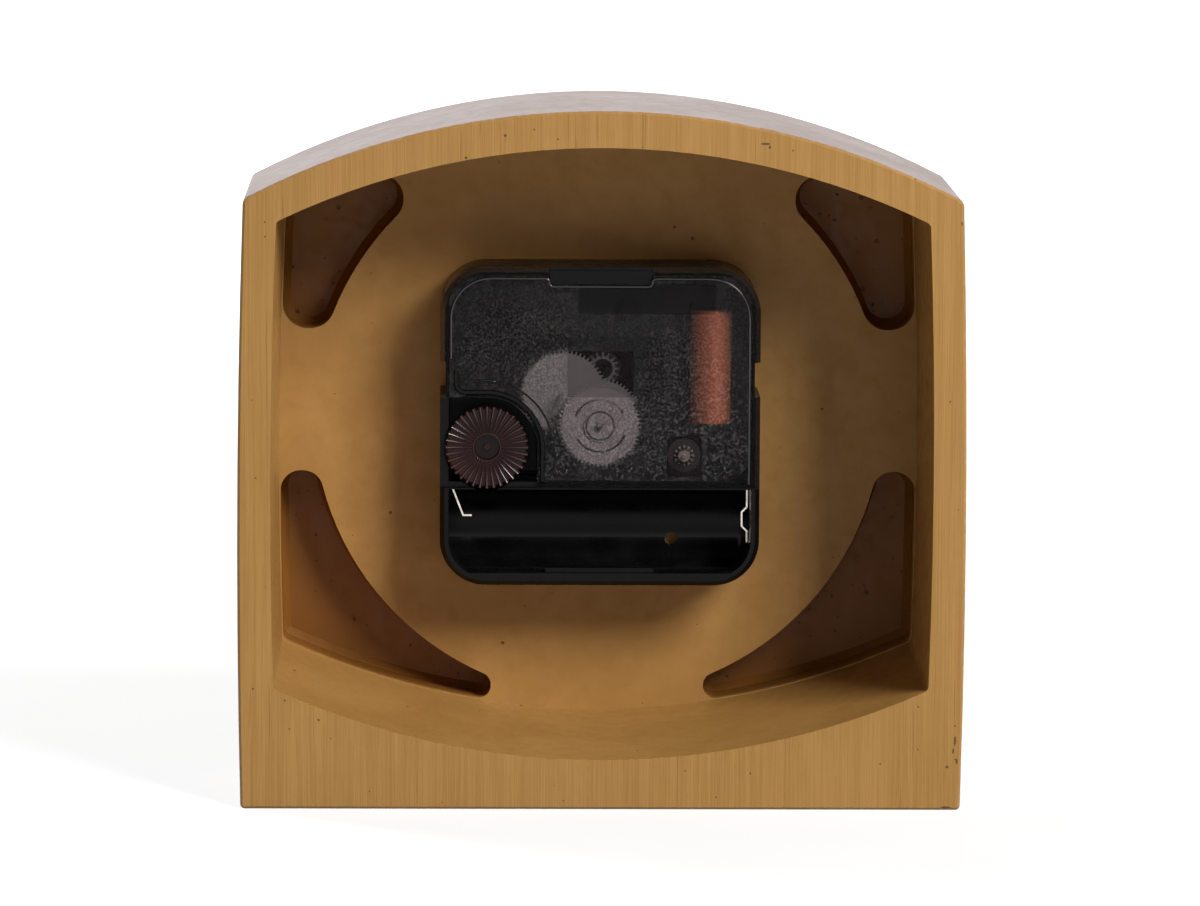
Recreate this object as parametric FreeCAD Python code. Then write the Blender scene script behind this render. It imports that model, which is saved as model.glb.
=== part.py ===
"""Shelf clock with a flat base and a shallow arched top, driven by a 56 mm quartz movement.

Millimetres. The dial faces -Y, the open back faces +Y and +Z is up. The origin is under the
middle of the case, on the surface that the clock stands on.
"""
import FreeCAD, Part
import math
import os

V = FreeCAD.Vector
AXIS = V(0, 1, 0)
OVERRUN = 1.0

# Case outline
CASE_HALF_BASE = 62.3
SIDE_BOW = 0.5
SHOULDER_INSET = 0.5
CASE_HEIGHT = 121.1
ARCH_RISE = 15.3
CASE_DEPTH = 48.4
CASE_CORNER_RADIUS = 1.6
CASE_BASE_RADIUS = 0.8
CASE_FRONT_CHAMFER = 0.7
CASE_REAR_CHAMFER = 0.45
BEZEL_PROUD = 1.6
CASE_HALF_WAIST = CASE_HALF_BASE + SIDE_BOW
CASE_HALF_SHOULDER = CASE_HALF_BASE - SHOULDER_INSET
CASE_SHOULDER_Z = CASE_HEIGHT - ARCH_RISE
REAR_Y = (CASE_DEPTH + BEZEL_PROUD) / 2
FRONT_Y = REAR_Y - CASE_DEPTH

# Hollow in the back, measured in from the outline at the rear rim
RIM_SIDE = 5.7
RIM_TOP = 6.3
RIM_SHOULDER = 3.9
RIM_BASE = 8.7
BASE_BOW = 12.3
DRAFT_SIDE = 0.6
DRAFT_TOP = 1.2
DRAFT_BASE = 3.0
HOLLOW_CORNER_RADIUS = 1.2

# Deeper pockets in the corners, round a circular plateau
SHAFT_Z = 64.2
PLATEAU_INSET = 12.4
PLATEAU_RADIUS = CASE_HALF_WAIST - PLATEAU_INSET
POCKET_DEPTH = 9.0
POCKET_LEDGE = 0.2
UPPER_POCKET_SIDE_END = 15.5
UPPER_POCKET_INNER_END = 34.6
LOWER_POCKET_SIDE_END = -9.8
LOWER_POCKET_INNER_END = 18.9
POCKET_CORNER_RADIUS = 1.6
POCKET_CORNER_SHARE = 0.42
POCKET_END_SHARE = 0.95
WALL_START_SHARE = 0.05
POCKET_FLOOR_CHAMFER = 1.2

# Dial recess, bezel, lens and dial in the front
DIAL_WALL = 4.0
RECESS_WALL = 4.4
RECESS_RADIUS = PLATEAU_RADIUS - RECESS_WALL
RECESS_FIT = 0.05
DIAL_THICKNESS = 0.5
BEZEL_FLANGE = 3.4
BEZEL_WALL = 1.6
BEZEL_LIP = 0.7
BEZEL_LIP_REACH = 0.9
BEZEL_EDGE = 0.35
LENS_THICKNESS = 1.2
LENS_FIT = 0.02

# Movement body
MOVEMENT_SIZE = 56.0
MOVEMENT_DEPTH = 15.4
MOVEMENT_CORNER = 8.0
HOUSING_WALL = 1.5
HOUSING_FLOOR = 1.3
COVER_THICKNESS = 1.2
BAY_TOP = -11.0
BAY_WALL = 1.2
BAY_HEIGHT = 14.8
CELL_RADIUS = 7.3
BAY_HOLE_RADIUS = 1.2
BAY_HOLE_X = -13.0
BAY_HOLE_Z = -21.6
RIM_RIB_HALF = 9.5
RIM_RIB_WIDTH = 0.8
RIM_RIB_DEPTH = 2.4
NOTCH_HALF = 9.1
NOTCH_DEPTH = 3.0
NOTCH_FIT = 0.2
NOTCH_STEP = 0.6
CLIP_LOW = 5.4
CLIP_HIGH = 11.4
CLIP_NOTCH = 1.0
CLIP_LEG = 0.6
CLIP_LENGTH = 3.6
CLIP_HOOK = 0.5
CLIP_HOOK_HEIGHT = 1.0
CLIP_FIT = 0.15
COVER_BEVEL = 0.8

# Fixing: bush, washers and nut
RUBBER_RADIUS = 11.0
RUBBER_THICKNESS = 0.6
BUSH_RADIUS = 3.95
BUSH_FLANGE_RADIUS = 5.2
BUSH_FLANGE = 0.7
BUSH_PROUD = 0.3
BUSH_CLEARANCE = 0.25
WASHER_RADIUS = 7.0
WASHER_THICKNESS = 0.5
NUT_ACROSS_FLATS = 11.0
NUT_THICKNESS = 2.0

# Shafts through the bush
SECONDS_ARBOR_RADIUS = 0.5
CANNON_RADIUS = 1.6
HOUR_TUBE_RADIUS = 2.5
RUNNING_FIT = 0.06
PIVOT_RADIUS = 0.3
PIVOT_FIT = 0.04
PIVOT_DEPTH = 0.6
POST_RADIUS = 0.8
TUBE_RADIUS = 0.9
BOSS_RADIUS = 1.1
BOSS_HEIGHT = 0.5

# Heights above the dial
HOUR_HAND_LIFT = 3.4
MINUTE_HAND_LIFT = 4.7
SECOND_HAND_LIFT = 6.0
HAND_THICKNESS = 0.4
CAP_HEIGHT = 0.6
HOUR_HAND_GAP = 18.45
MINUTE_HAND_GAP = 6.45
SECOND_HAND_GAP = 4.95
SECOND_HAND_TAIL = 11.0
HOUR_HAND_WIDTH = 4.2
MINUTE_HAND_WIDTH = 3.4
SECOND_HAND_WIDTH = 0.9
HOUR_HUB_RADIUS = 4.2
MINUTE_HUB_RADIUS = 3.0
SECOND_HUB_RADIUS = 1.8
HAND_WAIST_SHARE = 0.45
HAND_BELLY_SHARE = 0.62
SECOND_TIP_SHARE = 0.5
CAP_TOP_SHARE = 0.75
LENS_GAP = 0.6

# Tooth shapes, as shares of the module or of the tooth pitch
ADDENDUM_SHARE = 1.0
DEDENDUM_SHARE = 1.3
TOOTH_TIP_SHARE = 0.2
TOOTH_ROOT_SHARE = 0.46

# Wheel trains. Angles are from +X towards +Z, in degrees.
ROTOR_MODULE = 0.21
ROTOR_LEAVES = 12
INTERMEDIATE_TEETH = 60
SECONDS_MODULE = 0.235
INTERMEDIATE_LEAVES = 10
SECONDS_TEETH = 60
THIRD_MODULE = 0.245
SECONDS_LEAVES = 8
THIRD_TEETH = 60
THIRD_LEAVES = 8
CENTRE_TEETH = 64
MOTION_MODULE = 0.3145
CANNON_LEAVES = 10
MINUTE_WORK_TEETH = 48
MINUTE_WORK_LEAVES = 16
HOUR_TEETH = 40
IDLER_TEETH = 46
KNOB_LEAVES = 14
INTERMEDIATE_ANGLE = 194.7
ROTOR_ANGLE = 205.1
THIRD_ANGLE = 39.6
MINUTE_WORK_ANGLE = 93.8
IDLER_ANGLE = -37.6
KNOB_ANGLE = -23.0

# Layers of the movement, measured back from the inner face of the housing floor
FRONT_GAP = 0.3
MOTION_WHEEL = 0.8
MOTION_GAP = 0.3
PLATE_START = 2.6
PLATE_THICKNESS = 1.0
CENTRE_START = 4.0
TRAIN_WHEEL = 0.7
PINION_OVERLAP = 0.25
THIRD_START = 7.5
INTERMEDIATE_START = 9.5
SECONDS_START = 11.1
SECONDS_WHEEL = 0.8

# Seconds wheel details
SECONDS_HUB_RADIUS = 2.8
SECONDS_HUB_PROUD = 0.3
SPRING_SLOT_WIDTH = 0.35
SPRING_RADIUS = 4.6
SPRING_SWEEP = 130.0
SPRING_START = 20.0

# Setting knob
KNOB_RADIUS = 7.25
KNOB_RIBS = 36
KNOB_THICKNESS = 4.1
KNOB_RIB_DEPTH = 1.0
KNOB_RIM_DEPTH = 0.5
KNOB_HUB_RADIUS = 2.4
KNOB_PIN_RADIUS = 0.7
KNOB_CLEARANCE = 0.35
KNOB_RIB_ROOT_SHARE = 0.56
KNOB_RIB_TIP_SHARE = 0.6
KNOB_WELL_RADIUS = 8.8
CUP_RADIUS = 8.0
CUP_WALL = 0.9
CUP_SIDE_GAP = 1.1
DECK_START = 9.1
DECK_THICKNESS = 1.0
SETTING_ARBOR_RADIUS = 1.5

# Motor and circuit
ROTOR_DISC_RADIUS = 2.9
ROTOR_DISC = 0.3
ROTOR_CAP = 0.4
ROTOR_TIP = 1.0
MAGNET_RADIUS = 2.6
MAGNET_START = 6.9
MAGNET_LENGTH = 2.0
STATOR_START = 7.5
STATOR_THICKNESS = 0.8
STATOR_HOLE_RADIUS = 3.1
STATOR_RING_RADIUS = 4.5
STATOR_NOTCH_RADIUS = 0.4
STATOR_ARM = 2.6
STATOR_ARM_X = -12.6
CORE_WIDTH = 3.0
COIL_X = -19.4
COIL_LOW = 0.4
COIL_HIGH = 20.4
COIL_RADIUS = 3.6
BOBBIN_TUBE = 2.2
BOBBIN_FLANGE_HALF = 3.7
BOBBIN_FLANGE = 0.8
BOBBIN_ROUND = 0.6
CORE_LAP = 3.2
TERMINAL_RADIUS = 0.3
TERMINAL_SPREAD = 2.2
BOARD_LEFT = -23.5
BOARD_RIGHT = 14.5
BOARD_LOW = 15.4
BOARD_HIGH = 24.8
BOARD_THICKNESS = 0.8
CRYSTAL_RADIUS = 1.0
CRYSTAL_LENGTH = 6.0
CRYSTAL_X = 5.0
CRYSTAL_Z = 22.6
CHIP_RADIUS = 2.4
CHIP_HEIGHT = 0.9
CHIP_TOP_SHARE = 0.5
CHIP_X = -5.0
CHIP_Z = 19.6

# Battery contacts
CONTACT_THICKNESS = 0.3
CONTACT_WIDTH = 3.0
CONTACT_GAP = 0.25
CONTACT_TURN_Z = 18.4
CONTACT_SLOT_FIT = 0.2
CONTACT_SPRING_LEAN = 2.2
CONTACT_SPRING_DROP = 5.6
CONTACT_TONGUE = 1.5
CONTACT_BUTTON_LOW = 21.3
CONTACT_BUTTON_RISE = 0.9
CONTACT_BUTTON_START = 15.0
CONTACT_BUTTON_END = 18.4

# Planes along Y
RECESS_DEPTH = (DIAL_THICKNESS + SECOND_HAND_LIFT + HAND_THICKNESS + CAP_HEIGHT + LENS_GAP
                + LENS_THICKNESS + BEZEL_LIP - BEZEL_PROUD)
HOLLOW_DEPTH = CASE_DEPTH - RECESS_DEPTH - DIAL_WALL
PLATEAU_Y = REAR_Y - HOLLOW_DEPTH
RECESS_Y = PLATEAU_Y - DIAL_WALL
DIAL_FRONT_Y = RECESS_Y - DIAL_THICKNESS
MOVEMENT_FRONT_Y = PLATEAU_Y + RUBBER_THICKNESS
MOVEMENT_REAR_Y = MOVEMENT_FRONT_Y + MOVEMENT_DEPTH
FLOOR_Y = MOVEMENT_FRONT_Y + HOUSING_FLOOR
COVER_Y = MOVEMENT_REAR_Y - COVER_THICKNESS
WASHER_Y = DIAL_FRONT_Y - WASHER_THICKNESS
NUT_Y = WASHER_Y - NUT_THICKNESS
BUSH_FRONT_Y = NUT_Y - BUSH_PROUD
HOUR_HAND_Y = DIAL_FRONT_Y - HOUR_HAND_LIFT
MINUTE_HAND_Y = DIAL_FRONT_Y - MINUTE_HAND_LIFT
SECOND_HAND_Y = DIAL_FRONT_Y - SECOND_HAND_LIFT
LENS_REAR_Y = SECOND_HAND_Y - HAND_THICKNESS - CAP_HEIGHT - LENS_GAP
PLATE_Y = FLOOR_Y + PLATE_START
PLATE_REAR_Y = PLATE_Y + PLATE_THICKNESS
DECK_Y = FLOOR_Y + DECK_START
DECK_REAR_Y = DECK_Y + DECK_THICKNESS
HOUR_WHEEL_Y = FLOOR_Y + FRONT_GAP
MINUTE_WORK_Y = HOUR_WHEEL_Y + MOTION_WHEEL + MOTION_GAP
SHAFT = (0.0, SHAFT_Z)
HALF = MOVEMENT_SIZE / 2
INNER_HALF = HALF - HOUSING_WALL
BEZEL_OUTER = RECESS_RADIUS - RECESS_FIT
BEZEL_INNER = BEZEL_OUTER - BEZEL_WALL
BEZEL_OPENING = BEZEL_INNER - BEZEL_LIP_REACH
HOUR_HAND_LENGTH = BEZEL_OPENING - HOUR_HAND_GAP
MINUTE_HAND_LENGTH = BEZEL_OPENING - MINUTE_HAND_GAP
SECOND_HAND_LENGTH = BEZEL_OPENING - SECOND_HAND_GAP


def step_from(centre, distance, angle):
    """The point at a distance and an angle from another, in the plane of the dial."""
    turn = math.radians(angle)
    return centre[0] + distance * math.cos(turn), centre[1] + distance * math.sin(turn)


def centre_distance(module, teeth, leaves):
    """How far apart two meshing wheels stand."""
    return module * (teeth + leaves) / 2


CENTRE_MODULE = THIRD_MODULE * (THIRD_TEETH + SECONDS_LEAVES) / (CENTRE_TEETH + THIRD_LEAVES)
HOUR_MODULE = (MOTION_MODULE * (CANNON_LEAVES + MINUTE_WORK_TEETH)
               / (MINUTE_WORK_LEAVES + HOUR_TEETH))
INTERMEDIATE = step_from(SHAFT, centre_distance(SECONDS_MODULE, SECONDS_TEETH, INTERMEDIATE_LEAVES),
                         INTERMEDIATE_ANGLE)
ROTOR = step_from(INTERMEDIATE, centre_distance(ROTOR_MODULE, INTERMEDIATE_TEETH, ROTOR_LEAVES),
                  ROTOR_ANGLE)
THIRD = step_from(SHAFT, centre_distance(THIRD_MODULE, THIRD_TEETH, SECONDS_LEAVES), THIRD_ANGLE)
MINUTE_WORK = step_from(SHAFT, centre_distance(MOTION_MODULE, MINUTE_WORK_TEETH, CANNON_LEAVES),
                        MINUTE_WORK_ANGLE)
IDLER = step_from(MINUTE_WORK, centre_distance(MOTION_MODULE, MINUTE_WORK_TEETH, IDLER_TEETH),
                  IDLER_ANGLE)
KNOB = step_from(IDLER, centre_distance(MOTION_MODULE, IDLER_TEETH, KNOB_LEAVES), KNOB_ANGLE)


def meshed_phase(teeth, phase, centre, other_teeth, other_centre):
    """The angle at which the other wheel's tooth stands when the two wheels mesh."""
    line = math.atan2(other_centre[1] - centre[1], other_centre[0] - centre[0])
    offset = (line - phase) * teeth / math.tau
    return line + math.pi - math.tau * (0.5 - offset) / other_teeth


def disc(radius, start, end, centre=SHAFT):
    """A round bar along Y between two planes."""
    return Part.makeCylinder(radius, end - start, V(centre[0], start, centre[1]), AXIS)


def ring(outer, inner, start, end, centre=SHAFT):
    """A round bar with a round bore."""
    return disc(outer, start, end, centre).cut(disc(inner, start, end, centre))


def polygon(points, start, end):
    """A bar along Y whose section is a closed outline of (x, z) points."""
    corners = [V(x, start, z) for x, z in points]
    face = Part.Face(Part.makePolygon(corners + corners[:1]))
    return face.extrude(V(0, end - start, 0))


def block(left, right, low, high, start, end):
    """A plain block, with Z measured from the shaft."""
    return Part.makeBox(right - left, end - start, high - low, V(left, start, SHAFT_Z + low))


def toothed(teeth, tip, root, tip_share, root_share, start, end, centre, phase):
    """A toothed bar: each tooth narrows from its root to its tip."""
    points = []
    for number in range(teeth):
        middle = phase + math.tau * number / teeth
        tip_half = math.pi * tip_share / teeth
        root_half = math.pi * root_share / teeth
        for radius, angle in ((root, middle - root_half), (tip, middle - tip_half),
                              (tip, middle + tip_half), (root, middle + root_half)):
            points.append((centre[0] + radius * math.cos(angle),
                           centre[1] + radius * math.sin(angle)))
    return polygon(points, start, end)


def gear(teeth, module, start, end, centre, phase):
    """A spur wheel or pinion without its bore."""
    pitch = teeth * module / 2
    return toothed(teeth, pitch + module * ADDENDUM_SHARE, pitch - module * DEDENDUM_SHARE,
                   TOOTH_TIP_SHARE, TOOTH_ROOT_SHARE, start, end, centre, phase)


def gear_tip(teeth, module):
    """Outer radius of a wheel."""
    return teeth * module / 2 + module * ADDENDUM_SHARE


def outline(half_low, half_middle, half_high, low_corner, low_middle, high_corner, high_middle, y):
    """A closed outline with a bowed base, bowed sides and an arched top."""
    middle_z = (low_corner + high_corner) / 2
    low_left = V(-half_low, y, low_corner)
    low_right = V(half_low, y, low_corner)
    high_left = V(-half_high, y, high_corner)
    high_right = V(half_high, y, high_corner)
    if low_middle == low_corner:
        base = Part.makeLine(low_left, low_right)
    else:
        base = Part.Arc(low_left, V(0, y, low_middle), low_right).toShape()
    right = Part.Arc(low_right, V(half_middle, y, middle_z), high_right).toShape()
    top = Part.Arc(high_right, V(0, y, high_middle), high_left).toShape()
    left = Part.Arc(high_left, V(-half_middle, y, middle_z), low_left).toShape()
    return Part.Wire([base, right, top, left])


def runs_along_y(edge):
    """True for an edge that joins one plane to another."""
    ends = edge.Vertexes
    return len(ends) == 2 and abs(ends[0].Point.y - ends[1].Point.y) > OVERRUN / 2


def lies_at(edge, y):
    """True for an edge in the plane at y."""
    box = edge.BoundBox
    return abs(box.YMin - y) + abs(box.YMax - y) < RUNNING_FIT


def rounded(shape, radius, chosen):
    """The shape with a fillet on the chosen edges."""
    return shape.makeFillet(radius, chosen)


def bevelled(shape, size, chosen):
    """The shape with a chamfer on the chosen edges."""
    return shape.makeChamfer(size, chosen)


def hollow_outline(depth_share, inset, y):
    """Outline of the hollow, from the rear rim (0) to the plateau (1)."""
    side = RIM_SIDE + DRAFT_SIDE * depth_share + inset
    base = RIM_BASE + DRAFT_BASE * depth_share + inset
    top = CASE_HEIGHT - RIM_TOP - DRAFT_TOP * depth_share - inset
    shoulder = CASE_SHOULDER_Z - RIM_SHOULDER - DRAFT_TOP * depth_share - inset
    return outline(CASE_HALF_BASE - side, CASE_HALF_WAIST - side, CASE_HALF_SHOULDER - side,
                   base + BASE_BOW, base, shoulder, top, y)


def corner_pocket(side, upper):
    """One deep pocket between the round plateau and a corner of the hollow."""
    floor_y = PLATEAU_Y - POCKET_DEPTH
    region = Part.Face(hollow_outline(1, POCKET_LEDGE, floor_y)).extrude(V(0, POCKET_DEPTH, 0))
    region = region.cut(disc(PLATEAU_RADIUS, floor_y, PLATEAU_Y))
    side_end = UPPER_POCKET_SIDE_END if upper else LOWER_POCKET_SIDE_END
    inner_end = UPPER_POCKET_INNER_END if upper else LOWER_POCKET_INNER_END
    near, far = sorted((side * inner_end, side * CASE_HALF_WAIST))
    low, high = (side_end, CASE_HEIGHT - SHAFT_Z) if upper else (-SHAFT_Z, side_end)
    pocket = region.common(block(near, far, low, high, floor_y, PLATEAU_Y))
    spots = [edge.Vertexes[0].Point for edge in pocket.Edges if runs_along_y(edge)]
    floor_edges = [edge for edge in pocket.Edges if lies_at(edge, floor_y)]
    side_spots = [s for s in spots if abs(s.z - SHAFT_Z - side_end) < POCKET_LEDGE]
    inner_spots = [s for s in spots if abs(s.x - side * inner_end) < POCKET_LEDGE]
    for spot in spots:
        radius = corner_radius(floor_edges, spot)
        for pair in (side_spots, inner_spots):
            if spot in pair and len(pair) == 2:
                radius = end_radius(floor_edges, pair)
        pocket = rounded(pocket, radius, edges_above(pocket, spot))
    floor_edges = [edge for edge in pocket.Edges if lies_at(edge, floor_y)]
    pocket = bevelled(pocket, POCKET_FLOOR_CHAMFER, floor_edges)
    return pocket.fuse(mouth_above(pocket))


def walls_from(floor_edges, spot):
    """The directions and lengths of the two walls that meet at a corner."""
    walls = []
    for edge in floor_edges:
        first, last = edge.FirstParameter, edge.LastParameter
        for near, far in ((first, last), (last, first)):
            if flat_distance(edge.valueAt(near), spot) < RUNNING_FIT:
                along = edge.valueAt(near + (far - near) * WALL_START_SHARE) - edge.valueAt(near)
                walls.append((along, edge.Length))
    return walls


def reach_share(floor_edges, spot):
    """How far a fillet of radius 1 runs along the walls of a corner."""
    walls = walls_from(floor_edges, spot)
    return 1 / math.tan(walls[0][0].getAngle(walls[1][0]) / 2)


def corner_radius(floor_edges, spot):
    """Radius of a plain corner, kept within its shorter wall."""
    room = min(length for _, length in walls_from(floor_edges, spot)) * POCKET_CORNER_SHARE
    return min(POCKET_CORNER_RADIUS, room / reach_share(floor_edges, spot))


def end_radius(floor_edges, pair):
    """Radius that rounds nearly the whole of a pocket's narrow end."""
    reach = sum(reach_share(floor_edges, spot) for spot in pair)
    return flat_distance(pair[0], pair[1]) * POCKET_END_SHARE / reach


def flat_distance(one, other):
    """The distance between two points, seen along Y."""
    return math.hypot(one.x - other.x, one.z - other.z)


def edges_above(shape, spot):
    """The edges along Y that stand over a point of the plane."""
    return [edge for edge in shape.Edges if runs_along_y(edge)
            and flat_distance(edge.Vertexes[0].Point, spot) < RUNNING_FIT]


def mouth_above(pocket):
    """A thin slab over the pocket's mouth, so that the cut opens cleanly."""
    mouths = [face for face in pocket.Faces
              if abs(face.BoundBox.YMin - PLATEAU_Y) + abs(face.BoundBox.YMax - PLATEAU_Y)
              < RUNNING_FIT]
    return mouths[0].extrude(V(0, OVERRUN, 0))


def case_body():
    """The cast case with its hollow, pockets, dial recess and shaft hole."""
    front = outline(CASE_HALF_BASE, CASE_HALF_WAIST, CASE_HALF_SHOULDER, 0, 0,
                    CASE_SHOULDER_Z, CASE_HEIGHT, FRONT_Y)
    body = Part.Face(front).extrude(V(0, CASE_DEPTH, 0))
    feet = [edge for edge in body.Edges if runs_along_y(edge) and edge.BoundBox.ZMax < OVERRUN]
    body = rounded(body, CASE_BASE_RADIUS, feet)
    shoulders = [edge for edge in body.Edges
                 if runs_along_y(edge) and edge.BoundBox.ZMin > CASE_SHOULDER_Z - OVERRUN]
    body = rounded(body, CASE_CORNER_RADIUS, shoulders)
    body = bevelled(body, CASE_FRONT_CHAMFER, [e for e in body.Edges if lies_at(e, FRONT_Y)])
    body = bevelled(body, CASE_REAR_CHAMFER, [e for e in body.Edges if lies_at(e, REAR_Y)])

    hollow = Part.makeLoft([hollow_outline(0, 0, REAR_Y), hollow_outline(1, 0, PLATEAU_Y)],
                           True, True)
    corners = [edge for edge in hollow.Edges if runs_along_y(edge)]
    hollow = rounded(hollow, HOLLOW_CORNER_RADIUS, corners)
    body = body.cut(hollow)
    for side in (-1, 1):
        for upper in (True, False):
            body = body.cut(corner_pocket(side, upper))
    body = body.cut(disc(RECESS_RADIUS, FRONT_Y - OVERRUN, RECESS_Y))
    return body.cut(disc(BUSH_RADIUS + BUSH_CLEARANCE, FRONT_Y, PLATEAU_Y + OVERRUN))


def bezel_and_front():
    """Bezel ring, lens and dial plate, seated in the recess."""
    lens_front = LENS_REAR_Y - LENS_THICKNESS
    front = lens_front - BEZEL_LIP
    rim = RECESS_RADIUS + BEZEL_FLANGE
    section = [(BEZEL_OUTER, DIAL_FRONT_Y), (BEZEL_OUTER, FRONT_Y), (rim, FRONT_Y),
               (rim, FRONT_Y - BEZEL_EDGE), (BEZEL_INNER, front),
               (BEZEL_OPENING, lens_front), (BEZEL_INNER, lens_front),
               (BEZEL_INNER, DIAL_FRONT_Y)]
    corners = [V(radius, y, SHAFT_Z) for radius, y in section]
    face = Part.Face(Part.makePolygon(corners + corners[:1]))
    bezel = face.revolve(V(0, 0, SHAFT_Z), AXIS, 360)
    lens = disc(BEZEL_INNER - LENS_FIT, lens_front, LENS_REAR_Y)
    dial = ring(BEZEL_OUTER, BUSH_RADIUS + BUSH_CLEARANCE, DIAL_FRONT_Y, RECESS_Y)
    return {"bezel_ring": bezel, "dial_lens": lens, "dial_plate": dial}


def rounded_square(half, radius, start, end):
    """A square bar about the shaft with round corners."""
    body = block(-half, half, -half, half, start, end)
    return rounded(body, radius, [edge for edge in body.Edges if runs_along_y(edge)])


def knob_well(radius, start, end, inset):
    """The corner region round the knob, with one round inner corner."""
    left = KNOB[0] - radius
    top = KNOB[1] - SHAFT_Z + radius
    low = BAY_TOP + BAY_WALL + inset
    well = block(left, HALF - inset, low, top, start, end)
    corner = [edge for edge in well.Edges if runs_along_y(edge)
              and edge.BoundBox.XMax < left + OVERRUN
              and edge.BoundBox.ZMin > SHAFT_Z + top - OVERRUN]
    return rounded(well, radius, corner)


def battery_bay():
    """The open trough for one AA cell."""
    low = BAY_TOP - BAY_HEIGHT
    axis_y = FLOOR_Y + CELL_RADIUS
    axis_z = SHAFT_Z + BAY_TOP - BAY_HEIGHT / 2
    mouth = block(-INNER_HALF, INNER_HALF, low, BAY_TOP, axis_y, MOVEMENT_REAR_Y + OVERRUN)
    trough = Part.makeCylinder(CELL_RADIUS, INNER_HALF * 2, V(-INNER_HALF, axis_y, axis_z),
                               V(1, 0, 0))
    bay = mouth.fuse(trough)
    inside = rounded_square(INNER_HALF, MOVEMENT_CORNER - HOUSING_WALL, MOVEMENT_FRONT_Y,
                            MOVEMENT_REAR_Y + OVERRUN)
    return bay.common(inside)


def movement_housing():
    """The black moulded body: gear compartment above, open battery bay below."""
    body = rounded_square(HALF, MOVEMENT_CORNER, MOVEMENT_FRONT_Y, MOVEMENT_REAR_Y)
    rim = [edge for edge in body.Edges if lies_at(edge, MOVEMENT_REAR_Y)]
    body = bevelled(body, COVER_BEVEL, rim)
    body = body.cut(block(-HALF, HALF, BAY_TOP + NOTCH_FIT, HALF, COVER_Y,
                          MOVEMENT_REAR_Y + OVERRUN))
    compartment = rounded_square(INNER_HALF, MOVEMENT_CORNER - HOUSING_WALL, FLOOR_Y,
                                 MOVEMENT_REAR_Y)
    compartment = compartment.cut(block(-HALF, HALF, -HALF, BAY_TOP + BAY_WALL, FLOOR_Y,
                                        MOVEMENT_REAR_Y))
    compartment = compartment.cut(block(-NOTCH_HALF + NOTCH_FIT, NOTCH_HALF - NOTCH_FIT,
                                        HALF - NOTCH_DEPTH + NOTCH_FIT, HALF, FLOOR_Y,
                                        MOVEMENT_REAR_Y))
    body = body.cut(compartment).cut(battery_bay())
    body = body.fuse(block(-NOTCH_HALF + NOTCH_FIT, NOTCH_HALF - NOTCH_FIT,
                           HALF - NOTCH_DEPTH + NOTCH_FIT, HALF - NOTCH_STEP,
                           COVER_Y, MOVEMENT_REAR_Y - COVER_BEVEL))
    body = body.cut(disc(KNOB_RADIUS + KNOB_CLEARANCE, DECK_REAR_Y, MOVEMENT_REAR_Y, KNOB))
    slot_start = PLATE_REAR_Y - CONTACT_SLOT_FIT
    slot_end = PLATE_REAR_Y + CONTACT_WIDTH + CONTACT_SLOT_FIT
    reach = CONTACT_GAP + CONTACT_THICKNESS + CONTACT_SLOT_FIT
    for side in (-1, 1):
        near, far = sorted((side * (INNER_HALF - reach), side * INNER_HALF))
        body = body.cut(block(near, far, BAY_TOP, BAY_TOP + BAY_WALL, slot_start, slot_end))
        near, far = sorted((side * (INNER_HALF - reach * 2), side * INNER_HALF))
        body = body.cut(block(near, far, BAY_TOP - CONTACT_WIDTH / 2, BAY_TOP, slot_start,
                              slot_end))
        near, far = sorted((side * (HALF - CLIP_NOTCH), side * HALF))
        body = body.cut(block(near, far, CLIP_LOW, CLIP_HIGH, MOVEMENT_FRONT_Y, COVER_Y))
        near, far = sorted((side * INNER_HALF, side * HALF))
        window_low = COVER_Y - CLIP_LENGTH - CLIP_FIT
        body = body.cut(block(near, far, CLIP_LOW, CLIP_HIGH, window_low,
                              window_low + CLIP_HOOK_HEIGHT + CLIP_FIT * 2))
    hole = (BAY_HOLE_X, SHAFT_Z + BAY_HOLE_Z)
    body = body.cut(disc(BAY_HOLE_RADIUS, MOVEMENT_FRONT_Y, MOVEMENT_REAR_Y, hole))
    body = body.fuse(rim_rib())
    for post in (MINUTE_WORK, IDLER):
        body = body.fuse(disc(POST_RADIUS, FLOOR_Y, PLATE_Y - MOTION_GAP, post))
    body = body.cut(disc(PIVOT_RADIUS * 2 + PIVOT_FIT, FLOOR_Y - PIVOT_DEPTH, FLOOR_Y, KNOB))
    body = body.cut(disc(BUSH_FLANGE_RADIUS, FLOOR_Y - BUSH_FLANGE, FLOOR_Y))
    return body.cut(disc(BUSH_RADIUS, MOVEMENT_FRONT_Y, FLOOR_Y))


def rim_rib():
    """The finger rib inside the lower rim of the bay."""
    low = BAY_TOP - BAY_HEIGHT
    return block(-RIM_RIB_HALF, RIM_RIB_HALF, low, low + RIM_RIB_WIDTH,
                 MOVEMENT_REAR_Y - COVER_BEVEL - RIM_RIB_DEPTH, MOVEMENT_REAR_Y - COVER_BEVEL)


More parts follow.
